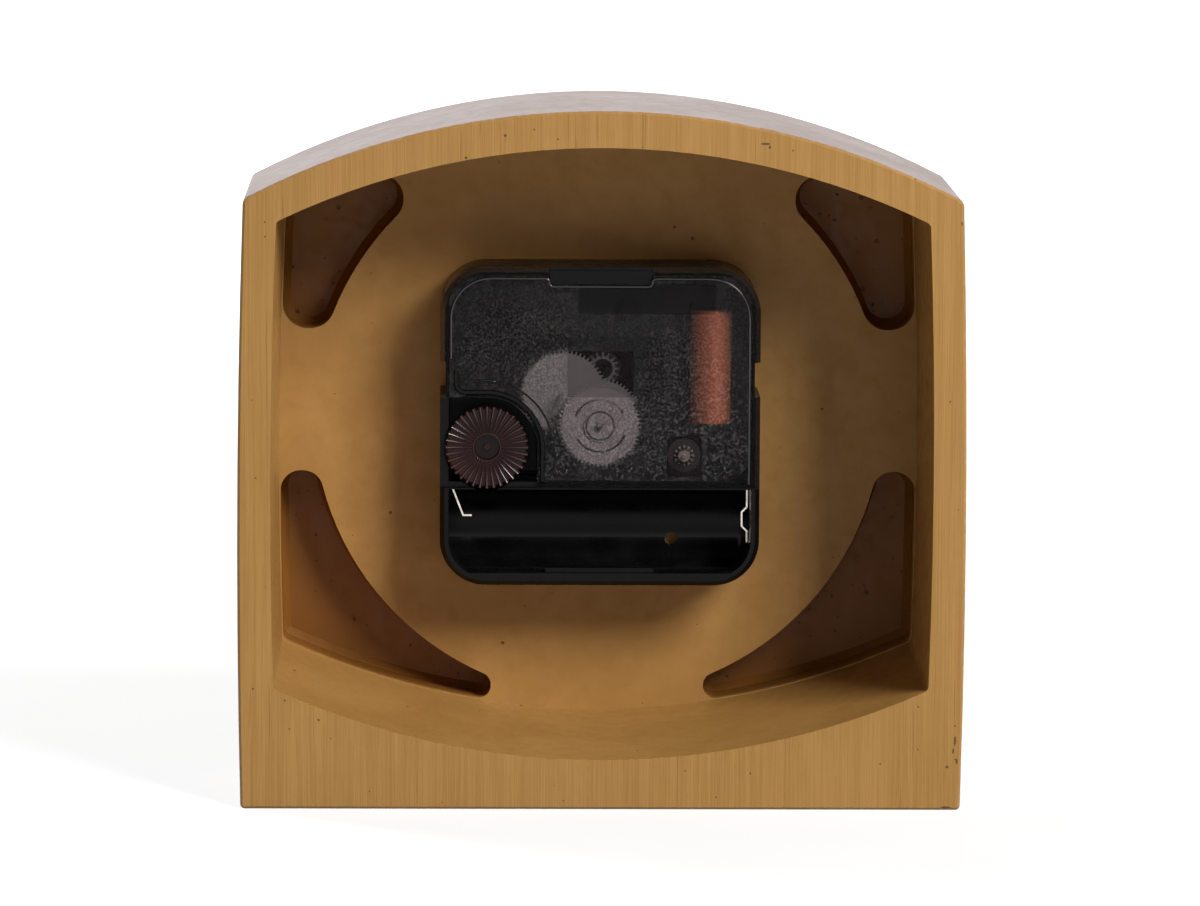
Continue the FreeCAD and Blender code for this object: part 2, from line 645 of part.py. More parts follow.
def movement_cover():
    """The smoky cover, cut away round the knob, at the top notch and at the side clips."""
    body = rounded_square(HALF, MOVEMENT_CORNER, COVER_Y, MOVEMENT_REAR_Y)
    body = bevelled(body, COVER_BEVEL, [e for e in body.Edges if lies_at(e, MOVEMENT_REAR_Y)])
    body = body.cut(block(-HALF, HALF, -HALF, BAY_TOP + NOTCH_FIT, COVER_Y, MOVEMENT_REAR_Y))
    body = body.cut(block(-NOTCH_HALF, NOTCH_HALF, HALF - NOTCH_DEPTH, HALF, COVER_Y,
                          MOVEMENT_REAR_Y))
    body = body.cut(knob_well(KNOB_WELL_RADIUS, COVER_Y, MOVEMENT_REAR_Y, -HOUSING_WALL))
    for side in (-1, 1):
        near, far = sorted((side * (HALF - CLIP_NOTCH), side * HALF))
        body = body.cut(block(near, far, CLIP_LOW, CLIP_HIGH, COVER_Y, MOVEMENT_REAR_Y))
        edge = INNER_HALF - CLIP_FIT
        near, far = sorted((side * (edge - CLIP_LEG), side * edge))
        leg = block(near, far, CLIP_LOW + CLIP_FIT, CLIP_HIGH - CLIP_FIT,
                    COVER_Y - CLIP_LENGTH, COVER_Y)
        near, far = sorted((side * edge, side * (edge + CLIP_FIT + CLIP_HOOK)))
        hook = block(near, far, CLIP_LOW + CLIP_FIT, CLIP_HIGH - CLIP_FIT,
                     COVER_Y - CLIP_LENGTH, COVER_Y - CLIP_LENGTH + CLIP_HOOK_HEIGHT)
        body = body.fuse(leg).fuse(hook)
    for spot in (SHAFT, THIRD, INTERMEDIATE):
        body = body.fuse(disc(BOSS_RADIUS, COVER_Y - BOSS_HEIGHT, COVER_Y, spot))
    for spot in (THIRD, INTERMEDIATE):
        body = body.cut(pivot_hole(spot, COVER_Y - BOSS_HEIGHT, PIVOT_DEPTH, PIVOT_RADIUS))
    body = body.cut(pivot_hole(SHAFT, COVER_Y - BOSS_HEIGHT, PIVOT_DEPTH, SECONDS_ARBOR_RADIUS))
    return body.cut(pivot_hole(ROTOR, COVER_Y, PIVOT_DEPTH, PIVOT_RADIUS))


def pivot_hole(centre, start, depth, radius):
    """The blind hole that a pivot turns in."""
    return disc(radius + PIVOT_FIT, start, start + depth, centre)


def middle_plate():
    """The black plate between the motion work and the train, with the cup under the knob."""
    half = INNER_HALF - CLIP_FIT
    corner = MOVEMENT_CORNER - HOUSING_WALL
    low = BAY_TOP + BAY_WALL + CLIP_FIT
    plate = rounded_square(half, corner, PLATE_Y, PLATE_REAR_Y)
    plate = plate.cut(block(-HALF, HALF, -HALF, low, PLATE_Y, PLATE_REAR_Y))
    notch = block(-NOTCH_HALF, NOTCH_HALF, HALF - NOTCH_DEPTH, HALF, PLATE_Y, PLATE_REAR_Y)
    cup_inset = HOUSING_WALL + CUP_SIDE_GAP
    walls = knob_well(CUP_RADIUS, PLATE_REAR_Y, DECK_Y, cup_inset)
    inner = knob_well(CUP_RADIUS - CUP_WALL, PLATE_REAR_Y, DECK_Y, cup_inset + CUP_WALL)
    walls = walls.cut(inner).cut(block(-HALF, HALF, -HALF, low, PLATE_Y, DECK_Y))
    deck = knob_well(KNOB_WELL_RADIUS - CLIP_FIT, DECK_Y, DECK_REAR_Y, HOUSING_WALL + CLIP_FIT)
    deck = deck.cut(block(-HALF, HALF, -HALF, low, DECK_Y, DECK_REAR_Y))
    body = plate.cut(notch).fuse([walls, deck])
    body = body.cut(disc(CANNON_HUB_RADIUS + RUNNING_FIT, PLATE_Y, PLATE_REAR_Y))
    crown = gear_tip(MINUTE_WORK_LEAVES, HOUR_MODULE) + CLIP_FIT * 2
    body = body.cut(disc(crown, PLATE_Y, PLATE_REAR_Y, MINUTE_WORK))
    body = body.cut(disc(SETTING_ARBOR_RADIUS + RUNNING_FIT, PLATE_Y, DECK_REAR_Y, KNOB))
    for spot in (THIRD, INTERMEDIATE, ROTOR):
        body = body.cut(pivot_hole(spot, PLATE_REAR_Y - PIVOT_DEPTH, PIVOT_DEPTH, PIVOT_RADIUS))
    return body


def fixing():
    """The threaded bush, the washers and the nut that clamp the movement to the case."""
    tube = disc(BUSH_RADIUS, BUSH_FRONT_Y, FLOOR_Y)
    flange = disc(BUSH_FLANGE_RADIUS, FLOOR_Y - BUSH_FLANGE, FLOOR_Y)
    bore = disc(HOUR_TUBE_RADIUS + RUNNING_FIT, BUSH_FRONT_Y, FLOOR_Y)
    hexagon = [step_from(SHAFT, NUT_ACROSS_FLATS / math.sqrt(3), 60 * number)
               for number in range(6)]
    nut = polygon(hexagon, NUT_Y, WASHER_Y).cut(disc(BUSH_RADIUS, NUT_Y, WASHER_Y))
    return {"threaded_bush": tube.fuse(flange).cut(bore),
            "rubber_washer": ring(RUBBER_RADIUS, BUSH_RADIUS, PLATEAU_Y, MOVEMENT_FRONT_Y),
            "fixing_washer": ring(WASHER_RADIUS, BUSH_RADIUS, WASHER_Y, DIAL_FRONT_Y),
            "fixing_nut": nut}


# Phases of the toothed wheels, passed from mesh to mesh
ROTOR_PHASE = 0.0
INTERMEDIATE_PHASE = meshed_phase(ROTOR_LEAVES, ROTOR_PHASE, ROTOR, INTERMEDIATE_TEETH,
                                  INTERMEDIATE)
INTERMEDIATE_PINION_PHASE = 0.0
SECONDS_PHASE = meshed_phase(INTERMEDIATE_LEAVES, INTERMEDIATE_PINION_PHASE, INTERMEDIATE,
                             SECONDS_TEETH, SHAFT)
SECONDS_PINION_PHASE = 0.0
THIRD_PHASE = meshed_phase(SECONDS_LEAVES, SECONDS_PINION_PHASE, SHAFT, THIRD_TEETH, THIRD)
THIRD_PINION_PHASE = 0.0
CENTRE_PHASE = meshed_phase(THIRD_LEAVES, THIRD_PINION_PHASE, THIRD, CENTRE_TEETH, SHAFT)
CANNON_PHASE = 0.0
MINUTE_WORK_PHASE = meshed_phase(CANNON_LEAVES, CANNON_PHASE, SHAFT, MINUTE_WORK_TEETH,
                                 MINUTE_WORK)
MINUTE_WORK_PINION_PHASE = 0.0
HOUR_PHASE = meshed_phase(MINUTE_WORK_LEAVES, MINUTE_WORK_PINION_PHASE, MINUTE_WORK,
                          HOUR_TEETH, SHAFT)
IDLER_PHASE = meshed_phase(MINUTE_WORK_TEETH, MINUTE_WORK_PHASE, MINUTE_WORK, IDLER_TEETH, IDLER)
KNOB_PHASE = meshed_phase(IDLER_TEETH, IDLER_PHASE, IDLER, KNOB_LEAVES, KNOB)

# Shared planes of the train
CANNON_HUB_RADIUS = gear_tip(CANNON_LEAVES, MOTION_MODULE) + RUNNING_FIT
CENTRE_Y = FLOOR_Y + CENTRE_START
THIRD_Y = FLOOR_Y + THIRD_START
INTERMEDIATE_Y = FLOOR_Y + INTERMEDIATE_START
SECONDS_Y = FLOOR_Y + SECONDS_START
BOSS_Y = COVER_Y - BOSS_HEIGHT


def spring_slot(start_angle):
    """A curved slot through the seconds wheel, from one angle over the sweep."""
    inner = SPRING_RADIUS - SPRING_SLOT_WIDTH / 2
    sides = []
    for radius in (inner, inner + SPRING_SLOT_WIDTH):
        ends = [step_from(SHAFT, radius, start_angle + SPRING_SWEEP * share)
                for share in (0, 1 / 2, 1)]
        sides.append([V(x, SECONDS_Y, z) for x, z in ends])
    near, far = sides
    edges = [Part.Arc(*near).toShape(), Part.makeLine(near[-1], far[-1]),
             Part.Arc(*far[::-1]).toShape(), Part.makeLine(far[0], near[0])]
    return Part.Face(Part.Wire(edges)).extrude(V(0, SECONDS_WHEEL, 0))


def seconds_group():
    """Seconds wheel with its pinion, its steel arbor and the second hand."""
    wheel = gear(SECONDS_TEETH, SECONDS_MODULE, SECONDS_Y, SECONDS_Y + SECONDS_WHEEL, SHAFT,
                 SECONDS_PHASE)
    for start in (SPRING_START, SPRING_START + 180):
        wheel = wheel.cut(spring_slot(start))
    hub = disc(SECONDS_HUB_RADIUS, SECONDS_Y, SECONDS_Y + SECONDS_WHEEL + SECONDS_HUB_PROUD)
    pinion_y = THIRD_Y - PINION_OVERLAP
    pinion_end = THIRD_Y + TRAIN_WHEEL + PINION_OVERLAP
    pinion = gear(SECONDS_LEAVES, THIRD_MODULE, pinion_y, pinion_end, SHAFT,
                  SECONDS_PINION_PHASE)
    tube = disc(TUBE_RADIUS, pinion_end, SECONDS_Y)
    front = SECOND_HAND_Y - HAND_THICKNESS
    arbor = disc(SECONDS_ARBOR_RADIUS, front, BOSS_Y + PIVOT_DEPTH - PIVOT_FIT)
    bore = disc(SECONDS_ARBOR_RADIUS, pinion_y, BOSS_Y)
    return {"seconds_wheel": wheel.fuse([hub, tube, pinion]).cut(bore),
            "seconds_arbor": arbor,
            "second_hand": second_hand()}


def third_wheel():
    """Third wheel and pinion, moulded in one with their pivots."""
    wheel = gear(THIRD_TEETH, THIRD_MODULE, THIRD_Y, THIRD_Y + TRAIN_WHEEL, THIRD, THIRD_PHASE)
    pinion_end = CENTRE_Y + TRAIN_WHEEL + PINION_OVERLAP
    pinion = gear(THIRD_LEAVES, CENTRE_MODULE, CENTRE_Y, pinion_end, THIRD, THIRD_PINION_PHASE)
    tube = disc(TUBE_RADIUS, pinion_end, THIRD_Y, THIRD)
    return wheel.fuse([pinion, tube, pivot(THIRD, BOSS_Y)])


def pivot(centre, top):
    """The thin arbor whose ends turn in the plate and in the cover."""
    return disc(PIVOT_RADIUS, PLATE_REAR_Y - PIVOT_DEPTH + PIVOT_FIT, top + PIVOT_DEPTH - PIVOT_FIT,
                centre)


def intermediate_wheel():
    """The wheel between the rotor and the seconds wheel."""
    end = INTERMEDIATE_Y + TRAIN_WHEEL
    wheel = gear(INTERMEDIATE_TEETH, ROTOR_MODULE, INTERMEDIATE_Y, end, INTERMEDIATE,
                 INTERMEDIATE_PHASE)
    pinion_end = SECONDS_Y + SECONDS_WHEEL + PINION_OVERLAP
    pinion = gear(INTERMEDIATE_LEAVES, SECONDS_MODULE, end, pinion_end, INTERMEDIATE,
                  INTERMEDIATE_PINION_PHASE)
    return wheel.fuse([pinion, pivot(INTERMEDIATE, BOSS_Y)])


def rotor_group():
    """The magnet of the stepping motor and its moulded discs and pinion."""
    magnet_y = FLOOR_Y + MAGNET_START
    magnet_end = magnet_y + MAGNET_LENGTH
    magnet = ring(MAGNET_RADIUS, TUBE_RADIUS, magnet_y, magnet_end, ROTOR)
    disc_end = magnet_end + ROTOR_DISC
    pinion_end = INTERMEDIATE_Y + TRAIN_WHEEL + PINION_OVERLAP
    pinion = gear(ROTOR_LEAVES, ROTOR_MODULE, disc_end, pinion_end, ROTOR, ROTOR_PHASE)
    cap_end = pinion_end + ROTOR_CAP
    cap = disc(ROTOR_DISC_RADIUS, pinion_end, cap_end, ROTOR)
    tip = gear(ROTOR_LEAVES, ROTOR_MODULE, cap_end, cap_end + ROTOR_TIP, ROTOR, ROTOR_PHASE)
    moulding = disc(ROTOR_DISC_RADIUS, magnet_end, disc_end, ROTOR)
    tube = disc(TUBE_RADIUS, magnet_y, magnet_end, ROTOR)
    return {"rotor_magnet": magnet,
            "rotor_pinion": moulding.fuse([tube, pinion, cap, tip, pivot(ROTOR, COVER_Y)])}


def centre_group():
    """Centre wheel, slipping on the hub of the minute cannon, and the minute hand."""
    end = CENTRE_Y + TRAIN_WHEEL
    wheel = gear(CENTRE_TEETH, CENTRE_MODULE, CENTRE_Y, end, SHAFT, CENTRE_PHASE)
    wheel = wheel.cut(disc(CANNON_HUB_RADIUS + RUNNING_FIT, CENTRE_Y, end))
    hub = disc(CANNON_HUB_RADIUS, PLATE_Y, end + RUNNING_FIT)
    collar = disc(CANNON_HUB_RADIUS + TUBE_RADIUS, end + RUNNING_FIT,
                  end + PINION_OVERLAP + RUNNING_FIT)
    pinion = gear(CANNON_LEAVES, MOTION_MODULE, MINUTE_WORK_Y, PLATE_Y, SHAFT, CANNON_PHASE)
    tube = disc(CANNON_RADIUS, MINUTE_HAND_Y - HAND_THICKNESS, MINUTE_WORK_Y)
    bore = disc(SECONDS_ARBOR_RADIUS + RUNNING_FIT, MINUTE_HAND_Y - HAND_THICKNESS,
                end + PINION_OVERLAP + RUNNING_FIT)
    cannon = hub.fuse([collar, pinion, tube]).cut(bore)
    return {"centre_wheel": wheel, "minute_cannon": cannon, "minute_hand": minute_hand()}


def minute_work_wheel():
    """The coarse wheel on its post: its long pinion shows through the plate."""
    end = MINUTE_WORK_Y + MOTION_WHEEL
    wheel = gear(MINUTE_WORK_TEETH, MOTION_MODULE, MINUTE_WORK_Y, end, MINUTE_WORK,
                 MINUTE_WORK_PHASE)
    pinion = gear(MINUTE_WORK_LEAVES, HOUR_MODULE, HOUR_WHEEL_Y, PLATE_REAR_Y - RUNNING_FIT,
                  MINUTE_WORK, MINUTE_WORK_PINION_PHASE)
    bore = disc(POST_RADIUS + RUNNING_FIT, HOUR_WHEEL_Y, PLATE_REAR_Y, MINUTE_WORK)
    dish_radius = gear_tip(MINUTE_WORK_LEAVES, HOUR_MODULE) / 2
    dish = disc(dish_radius, PLATE_Y, PLATE_REAR_Y, MINUTE_WORK)
    return wheel.fuse(pinion).cut(dish).cut(bore)


def hour_group():
    """Hour wheel with its tube, and the hour hand."""
    wheel = gear(HOUR_TEETH, HOUR_MODULE, HOUR_WHEEL_Y, HOUR_WHEEL_Y + MOTION_WHEEL, SHAFT,
                 HOUR_PHASE)
    tube = disc(HOUR_TUBE_RADIUS, HOUR_HAND_Y - HAND_THICKNESS, HOUR_WHEEL_Y)
    bore = disc(CANNON_RADIUS + RUNNING_FIT, HOUR_HAND_Y - HAND_THICKNESS,
                HOUR_WHEEL_Y + MOTION_WHEEL)
    return {"hour_wheel": wheel.fuse(tube).cut(bore), "hour_hand": hour_hand()}


def setting_group():
    """Ribbed knob, its arbor with a pinion, and the idler that joins it to the motion work."""
    knob_y = DECK_REAR_Y + KNOB_CLEARANCE
    knob_end = knob_y + KNOB_THICKNESS
    face_y = knob_end - KNOB_RIB_DEPTH
    rim_root = KNOB_RADIUS - KNOB_RIM_DEPTH
    base = toothed(KNOB_RIBS, KNOB_RADIUS, rim_root, KNOB_RIB_TIP_SHARE, 1, knob_y, face_y,
                   KNOB, 0)
    ribs = toothed(KNOB_RIBS, KNOB_RADIUS, KNOB_HUB_RADIUS, KNOB_RIB_TIP_SHARE,
                   KNOB_RIB_ROOT_SHARE, face_y, knob_end, KNOB, 0)
    knob = base.fuse(ribs).cut(rib_circle(face_y - KNOB_RIB_DEPTH, knob_end))
    knob = knob.cut(disc(SETTING_ARBOR_RADIUS, knob_y, face_y - KNOB_RIB_DEPTH, KNOB))
    end = MINUTE_WORK_Y + MOTION_WHEEL
    pinion = gear(KNOB_LEAVES, MOTION_MODULE, MINUTE_WORK_Y, end, KNOB, KNOB_PHASE)
    shank = disc(SETTING_ARBOR_RADIUS, end, face_y - KNOB_RIB_DEPTH, KNOB)
    foot = disc(PIVOT_RADIUS * 2, FLOOR_Y - PIVOT_DEPTH + PIVOT_FIT, MINUTE_WORK_Y, KNOB)
    head = disc(KNOB_PIN_RADIUS, face_y - KNOB_RIB_DEPTH, face_y, KNOB)
    idler = gear(IDLER_TEETH, MOTION_MODULE, MINUTE_WORK_Y, end, IDLER, IDLER_PHASE)
    hub = disc(POST_RADIUS * 2, HOUR_WHEEL_Y, MINUTE_WORK_Y, IDLER)
    idler = idler.fuse(hub).cut(disc(POST_RADIUS + RUNNING_FIT, HOUR_WHEEL_Y, end, IDLER))
    return {"setting_knob": knob,
            "setting_arbor": pinion.fuse([shank, foot, head]),
            "setting_idler": idler}


def rib_circle(start, end):
    """The sunk hub of the knob: flat sided, with a corner at each foot of a rib."""
    corners = []
    for number in range(KNOB_RIBS):
        for side in (-1, 1):
            turn = (number + side * KNOB_RIB_ROOT_SHARE / 2) * 360 / KNOB_RIBS
            corners.append(step_from(KNOB, KNOB_HUB_RADIUS, turn))
    return polygon(corners, start, end)


def tapered_hand(length, width, hub_radius, bore_radius, face_y):
    """A leaf hand that points up at rest: narrow waist, wider belly, sharp tip."""
    waist = width / 4
    belly = width / 2
    points = [(-waist, 0), (-waist, length * HAND_WAIST_SHARE),
              (-belly, length * HAND_BELLY_SHARE), (0, length),
              (belly, length * HAND_BELLY_SHARE), (waist, length * HAND_WAIST_SHARE),
              (waist, 0)]
    blade = polygon([(x, SHAFT_Z + z) for x, z in points], face_y - HAND_THICKNESS, face_y)
    hub = disc(hub_radius, face_y - HAND_THICKNESS, face_y)
    return blade.fuse(hub).cut(disc(bore_radius, face_y - HAND_THICKNESS, face_y))


def hour_hand():
    """Hour hand, pressed on the hour tube."""
    return tapered_hand(HOUR_HAND_LENGTH, HOUR_HAND_WIDTH, HOUR_HUB_RADIUS, HOUR_TUBE_RADIUS,
                        HOUR_HAND_Y)


def minute_hand():
    """Minute hand, pressed on the minute cannon."""
    return tapered_hand(MINUTE_HAND_LENGTH, MINUTE_HAND_WIDTH, MINUTE_HUB_RADIUS, CANNON_RADIUS,
                        MINUTE_HAND_Y)


def second_hand():
    """Thin second hand with a tail and a small cap over the arbor."""
    half = SECOND_HAND_WIDTH / 2
    tip = half * SECOND_TIP_SHARE
    points = [(-half, -SECOND_HAND_TAIL), (-tip, SECOND_HAND_LENGTH), (tip, SECOND_HAND_LENGTH),
              (half, -SECOND_HAND_TAIL)]
    front = SECOND_HAND_Y - HAND_THICKNESS
    blade = polygon([(x, SHAFT_Z + z) for x, z in points], front, SECOND_HAND_Y)
    hub = disc(SECOND_HUB_RADIUS, front, SECOND_HAND_Y)
    cap = Part.makeCone(SECOND_HUB_RADIUS * CAP_TOP_SHARE, SECOND_HUB_RADIUS, CAP_HEIGHT,
                        V(0, front - CAP_HEIGHT, SHAFT_Z), AXIS)
    body = blade.fuse([hub, cap])
    return body.cut(disc(SECONDS_ARBOR_RADIUS, front, SECOND_HAND_Y))


def stator_plate():
    """The soft-iron plate that runs from both ends of the core round the rotor."""
    start = FLOOR_Y + STATOR_START
    end = start + STATOR_THICKNESS
    plate = disc(STATOR_RING_RADIUS, start, end, ROTOR)
    arm_left = STATOR_ARM_X - STATOR_ARM / 2
    arm_right = STATOR_ARM_X + STATOR_ARM / 2
    rotor_z = ROTOR[1] - SHAFT_Z
    bar_low = COIL_HIGH + BOBBIN_FLANGE
    bar_high = bar_low + CORE_LAP
    pad_left = COIL_X - CORE_WIDTH / 2
    arm = [(arm_right, rotor_z), (arm_right, bar_high - STATOR_ARM / 2),
           (arm_right - STATOR_ARM / 2, bar_high), (pad_left, bar_high), (pad_left, bar_low),
           (arm_left, bar_low), (arm_left, rotor_z)]
    arm_bar = polygon([(x, SHAFT_Z + z) for x, z in arm], start, end)
    pad_high = COIL_LOW - BOBBIN_FLANGE
    pad = block(pad_left, ROTOR[0], pad_high - CORE_LAP, pad_high, start, end)
    pad = pad.common(block(pad_left, HALF, -HALF, pad_high, start, end))
    plate = plate.fuse([arm_bar, pad])
    floor = BAY_TOP + BAY_WALL + CLIP_FIT * 2
    plate = plate.cut(block(-HALF, HALF, -HALF, floor, start, end))
    plate = plate.cut(disc(STATOR_HOLE_RADIUS, start, end, ROTOR))
    for angle in (45, 225):
        notch = step_from(ROTOR, STATOR_HOLE_RADIUS, angle)
        plate = plate.cut(disc(STATOR_NOTCH_RADIUS, start, end, notch))
    return plate


def coil_group():
    """Core, bobbin and copper winding of the motor."""
    start = FLOOR_Y + STATOR_START + STATOR_THICKNESS
    end = start + STATOR_THICKNESS
    axis_y = (start + end) / 2
    low = COIL_LOW - BOBBIN_FLANGE - CORE_LAP
    high = COIL_HIGH + BOBBIN_FLANGE + CORE_LAP
    core = block(COIL_X - CORE_WIDTH / 2, COIL_X + CORE_WIDTH / 2, low, high, start, end)

    def upright(radius, bottom, top):
        return Part.makeCylinder(radius, top - bottom, V(COIL_X, axis_y, SHAFT_Z + bottom))

    bobbin = upright(BOBBIN_TUBE, COIL_LOW, COIL_HIGH)
    for bottom in (COIL_LOW - BOBBIN_FLANGE, COIL_HIGH):
        flange = block(COIL_X - BOBBIN_FLANGE_HALF, COIL_X + BOBBIN_FLANGE_HALF, bottom,
                       bottom + BOBBIN_FLANGE, axis_y - BOBBIN_FLANGE_HALF,
                       axis_y + BOBBIN_FLANGE_HALF)
        upright_edges = [edge for edge in flange.Edges
                         if edge.BoundBox.ZLength > BOBBIN_FLANGE / 2]
        bobbin = bobbin.fuse(rounded(flange, BOBBIN_ROUND, upright_edges))
    for spread in (-TERMINAL_SPREAD, TERMINAL_SPREAD):
        pin = disc(TERMINAL_RADIUS, PLATE_REAR_Y + BOARD_THICKNESS,
                   axis_y - BOBBIN_FLANGE_HALF + BOBBIN_ROUND,
                   (COIL_X + spread, SHAFT_Z + COIL_HIGH + BOBBIN_FLANGE / 2))
        bobbin = bobbin.fuse(pin)
    winding = upright(COIL_RADIUS, COIL_LOW, COIL_HIGH).cut(
        upright(BOBBIN_TUBE, COIL_LOW, COIL_HIGH))
    return {"coil_core": core, "coil_bobbin": bobbin.cut(core), "coil_winding": winding}


def circuit_group():
    """Circuit board with the crystal and the chip under its drop of resin."""
    top = PLATE_REAR_Y + BOARD_THICKNESS
    board = block(BOARD_LEFT, BOARD_RIGHT, BOARD_LOW, BOARD_HIGH, PLATE_REAR_Y, top)
    crystal = Part.makeCylinder(CRYSTAL_RADIUS, CRYSTAL_LENGTH,
                                V(CRYSTAL_X, top + CRYSTAL_RADIUS, SHAFT_Z + CRYSTAL_Z),
                                V(1, 0, 0))
    chip = Part.makeCone(CHIP_RADIUS, CHIP_RADIUS * CHIP_TOP_SHARE, CHIP_HEIGHT,
                         V(CHIP_X, top, SHAFT_Z + CHIP_Z), AXIS)
    return {"circuit_board": board, "quartz_crystal": crystal, "timing_chip": chip}


def strip(points, thickness):
    """A bent strip, standing on edge: a centre line given a thickness, extruded along Y."""
    left = []
    right = []
    for number, (x, z) in enumerate(points):
        before = points[max(number - 1, 0)]
        after = points[min(number + 1, len(points) - 1)]
        normals = []
        for start, end in ((before, (x, z)), ((x, z), after)):
            run = math.hypot(end[0] - start[0], end[1] - start[1])
            if run:
                normals.append(((start[1] - end[1]) / run, (end[0] - start[0]) / run))
        nx = sum(normal[0] for normal in normals)
        nz = sum(normal[1] for normal in normals)
        size = math.hypot(nx, nz)
        square = (nx * normals[0][0] + nz * normals[0][1]) / size
        offset = thickness / 2 / square / size
        left.append((x + nx * offset, z + nz * offset))
        right.append((x - nx * offset, z - nz * offset))
    closed = [(x, SHAFT_Z + z) for x, z in left + right[::-1]]
    return polygon(closed, PLATE_REAR_Y, PLATE_REAR_Y + CONTACT_WIDTH)


def battery_contacts():
    """The two sprung strips: one spring for the flat end, one raised button for the tip."""
    run_x = INNER_HALF - CONTACT_GAP - CONTACT_THICKNESS / 2
    spring = [(BOARD_RIGHT, CONTACT_TURN_Z), (run_x, CONTACT_TURN_Z),
              (run_x, BAY_TOP), (run_x - CONTACT_SPRING_LEAN, BAY_TOP - CONTACT_SPRING_DROP),
              (run_x - CONTACT_SPRING_LEAN - CONTACT_TONGUE, BAY_TOP - CONTACT_SPRING_DROP)]
    button = [(BOARD_LEFT, CONTACT_TURN_Z), (-run_x, CONTACT_TURN_Z),
              (-run_x, -CONTACT_BUTTON_START), (-run_x + CONTACT_BUTTON_RISE,
                                                -CONTACT_BUTTON_START - CONTACT_BUTTON_RISE),
              (-run_x + CONTACT_BUTTON_RISE, -CONTACT_BUTTON_END),
              (-run_x, -CONTACT_BUTTON_END - CONTACT_BUTTON_RISE),
              (-run_x, -CONTACT_BUTTON_LOW)]
    return {"negative_contact": strip(spring, CONTACT_THICKNESS),
            "positive_contact": strip(button, CONTACT_THICKNESS)}


def build():
    """Every piece of the clock by name."""
    pieces = {"case_body": case_body(),
              "movement_housing": movement_housing(),
              "movement_cover": movement_cover(),
              "middle_plate": middle_plate(),
              "stator_plate": stator_plate(),
              "third_wheel": third_wheel(),
              "intermediate_wheel": intermediate_wheel(),
              "minute_work_wheel": minute_work_wheel()}
    for group in (bezel_and_front, fixing, seconds_group, rotor_group, centre_group, hour_group,
                  setting_group, coil_group, circuit_group, battery_contacts):
        pieces.update(group())
    return pieces


os.makedirs("parts", exist_ok=True)
for name, shape in build().items():
    solids = shape.Solids
    assert len(solids) == 1 and shape.isValid(), name
    solids[0].exportStep("parts/" + name + ".step")
    print(name, round(solids[0].Volume, 2))
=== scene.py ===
"""Looks of the shelf clock: its cast case, quartz movement, dial and hands."""
import math

import bpy
from mathutils import Matrix, Vector


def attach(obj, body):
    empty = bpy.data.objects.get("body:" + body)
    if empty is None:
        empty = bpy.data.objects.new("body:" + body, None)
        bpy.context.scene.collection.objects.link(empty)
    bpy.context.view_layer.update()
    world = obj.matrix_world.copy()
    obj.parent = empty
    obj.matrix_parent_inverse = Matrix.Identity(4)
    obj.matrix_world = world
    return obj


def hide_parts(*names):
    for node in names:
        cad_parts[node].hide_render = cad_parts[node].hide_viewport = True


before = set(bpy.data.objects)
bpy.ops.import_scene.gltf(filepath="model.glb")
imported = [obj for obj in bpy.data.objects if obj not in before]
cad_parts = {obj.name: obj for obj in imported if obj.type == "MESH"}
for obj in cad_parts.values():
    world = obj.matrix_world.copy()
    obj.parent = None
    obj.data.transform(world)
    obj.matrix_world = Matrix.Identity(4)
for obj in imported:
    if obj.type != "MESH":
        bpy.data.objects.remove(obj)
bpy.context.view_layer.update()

MM, UM = 0.001, 0.000001
QUARTER_TURN, WHOLE_TURN = math.radians(90), math.radians(360)
SHAFT_LINE = (0, 1, 0)  # the direction of every arbor, out of the back
ON_SHAFT = (QUARTER_TURN, 0, 0)  # stands a primitive's own upright along the arbors

# places in mm: across and up for arbors, out of the back for faces
SHAFT_Z = 64.2
KNOB_AT = (19.792, 60.595)
MINUTE_WORK_AT = (-0.604, 73.3)
ROTOR_AT = (-14.802, 58.906)
COVER_BACK = 5.0
DIAL_FRONT = -15.5

# colour sockets of a Mix node
MIX_FIRST, MIX_SECOND, MIX_RESULT = 6, 7, 2

# ---------------------------------------------------------------- small helpers


def mm(*values):
    """A point given in millimetres."""
    return Vector(values) * MM


def feed(tree, target, value):
    """An input's own value, or a link to it from another node's output."""
    if isinstance(value, bpy.types.NodeSocket):
        tree.links.new(value, target)
    else:
        target.default_value = value


def add(tree, kind, wires=None, **settings):
    """A new node: settings are its own, wires are values or other nodes' outputs."""
    node = tree.nodes.new(kind)
    for name, value in settings.items():
        setattr(node, name, value)
    for name, value in (wires or {}).items():
        feed(tree, node.inputs[name], value)
    return node


def sums(tree, operation, first, second=0.0, third=None, clamp=False):
    """One step of arithmetic on values."""
    wires = {0: first, 1: second}
    if third is not None:
        wires[2] = third
    node = add(tree, "ShaderNodeMath", wires, operation=operation, use_clamp=clamp)
    return node.outputs[0]


def parts_of(tree, vector):
    """The X, Y and Z of a vector."""
    return add(tree, "ShaderNodeSeparateXYZ", {0: vector}).outputs


def length_of(tree, vector, start=None):
    """How long a vector is, or how far it lies from a start."""
    wires, operation = {0: vector}, "LENGTH"
    if start is not None:
        wires[1], operation = start, "DISTANCE"
    return add(tree, "ShaderNodeVectorMath", wires, operation=operation).outputs["Value"]


def step(tree, value, start, end, low=0.0, high=1.0):
    """A smooth ramp from low to high as the value goes from start to end."""
    wires = {"Value": value, "From Min": start, "From Max": end, "To Min": low, "To Max": high}
    node = add(tree, "ShaderNodeMapRange", wires, interpolation_type="SMOOTHSTEP")
    return node.outputs["Result"]


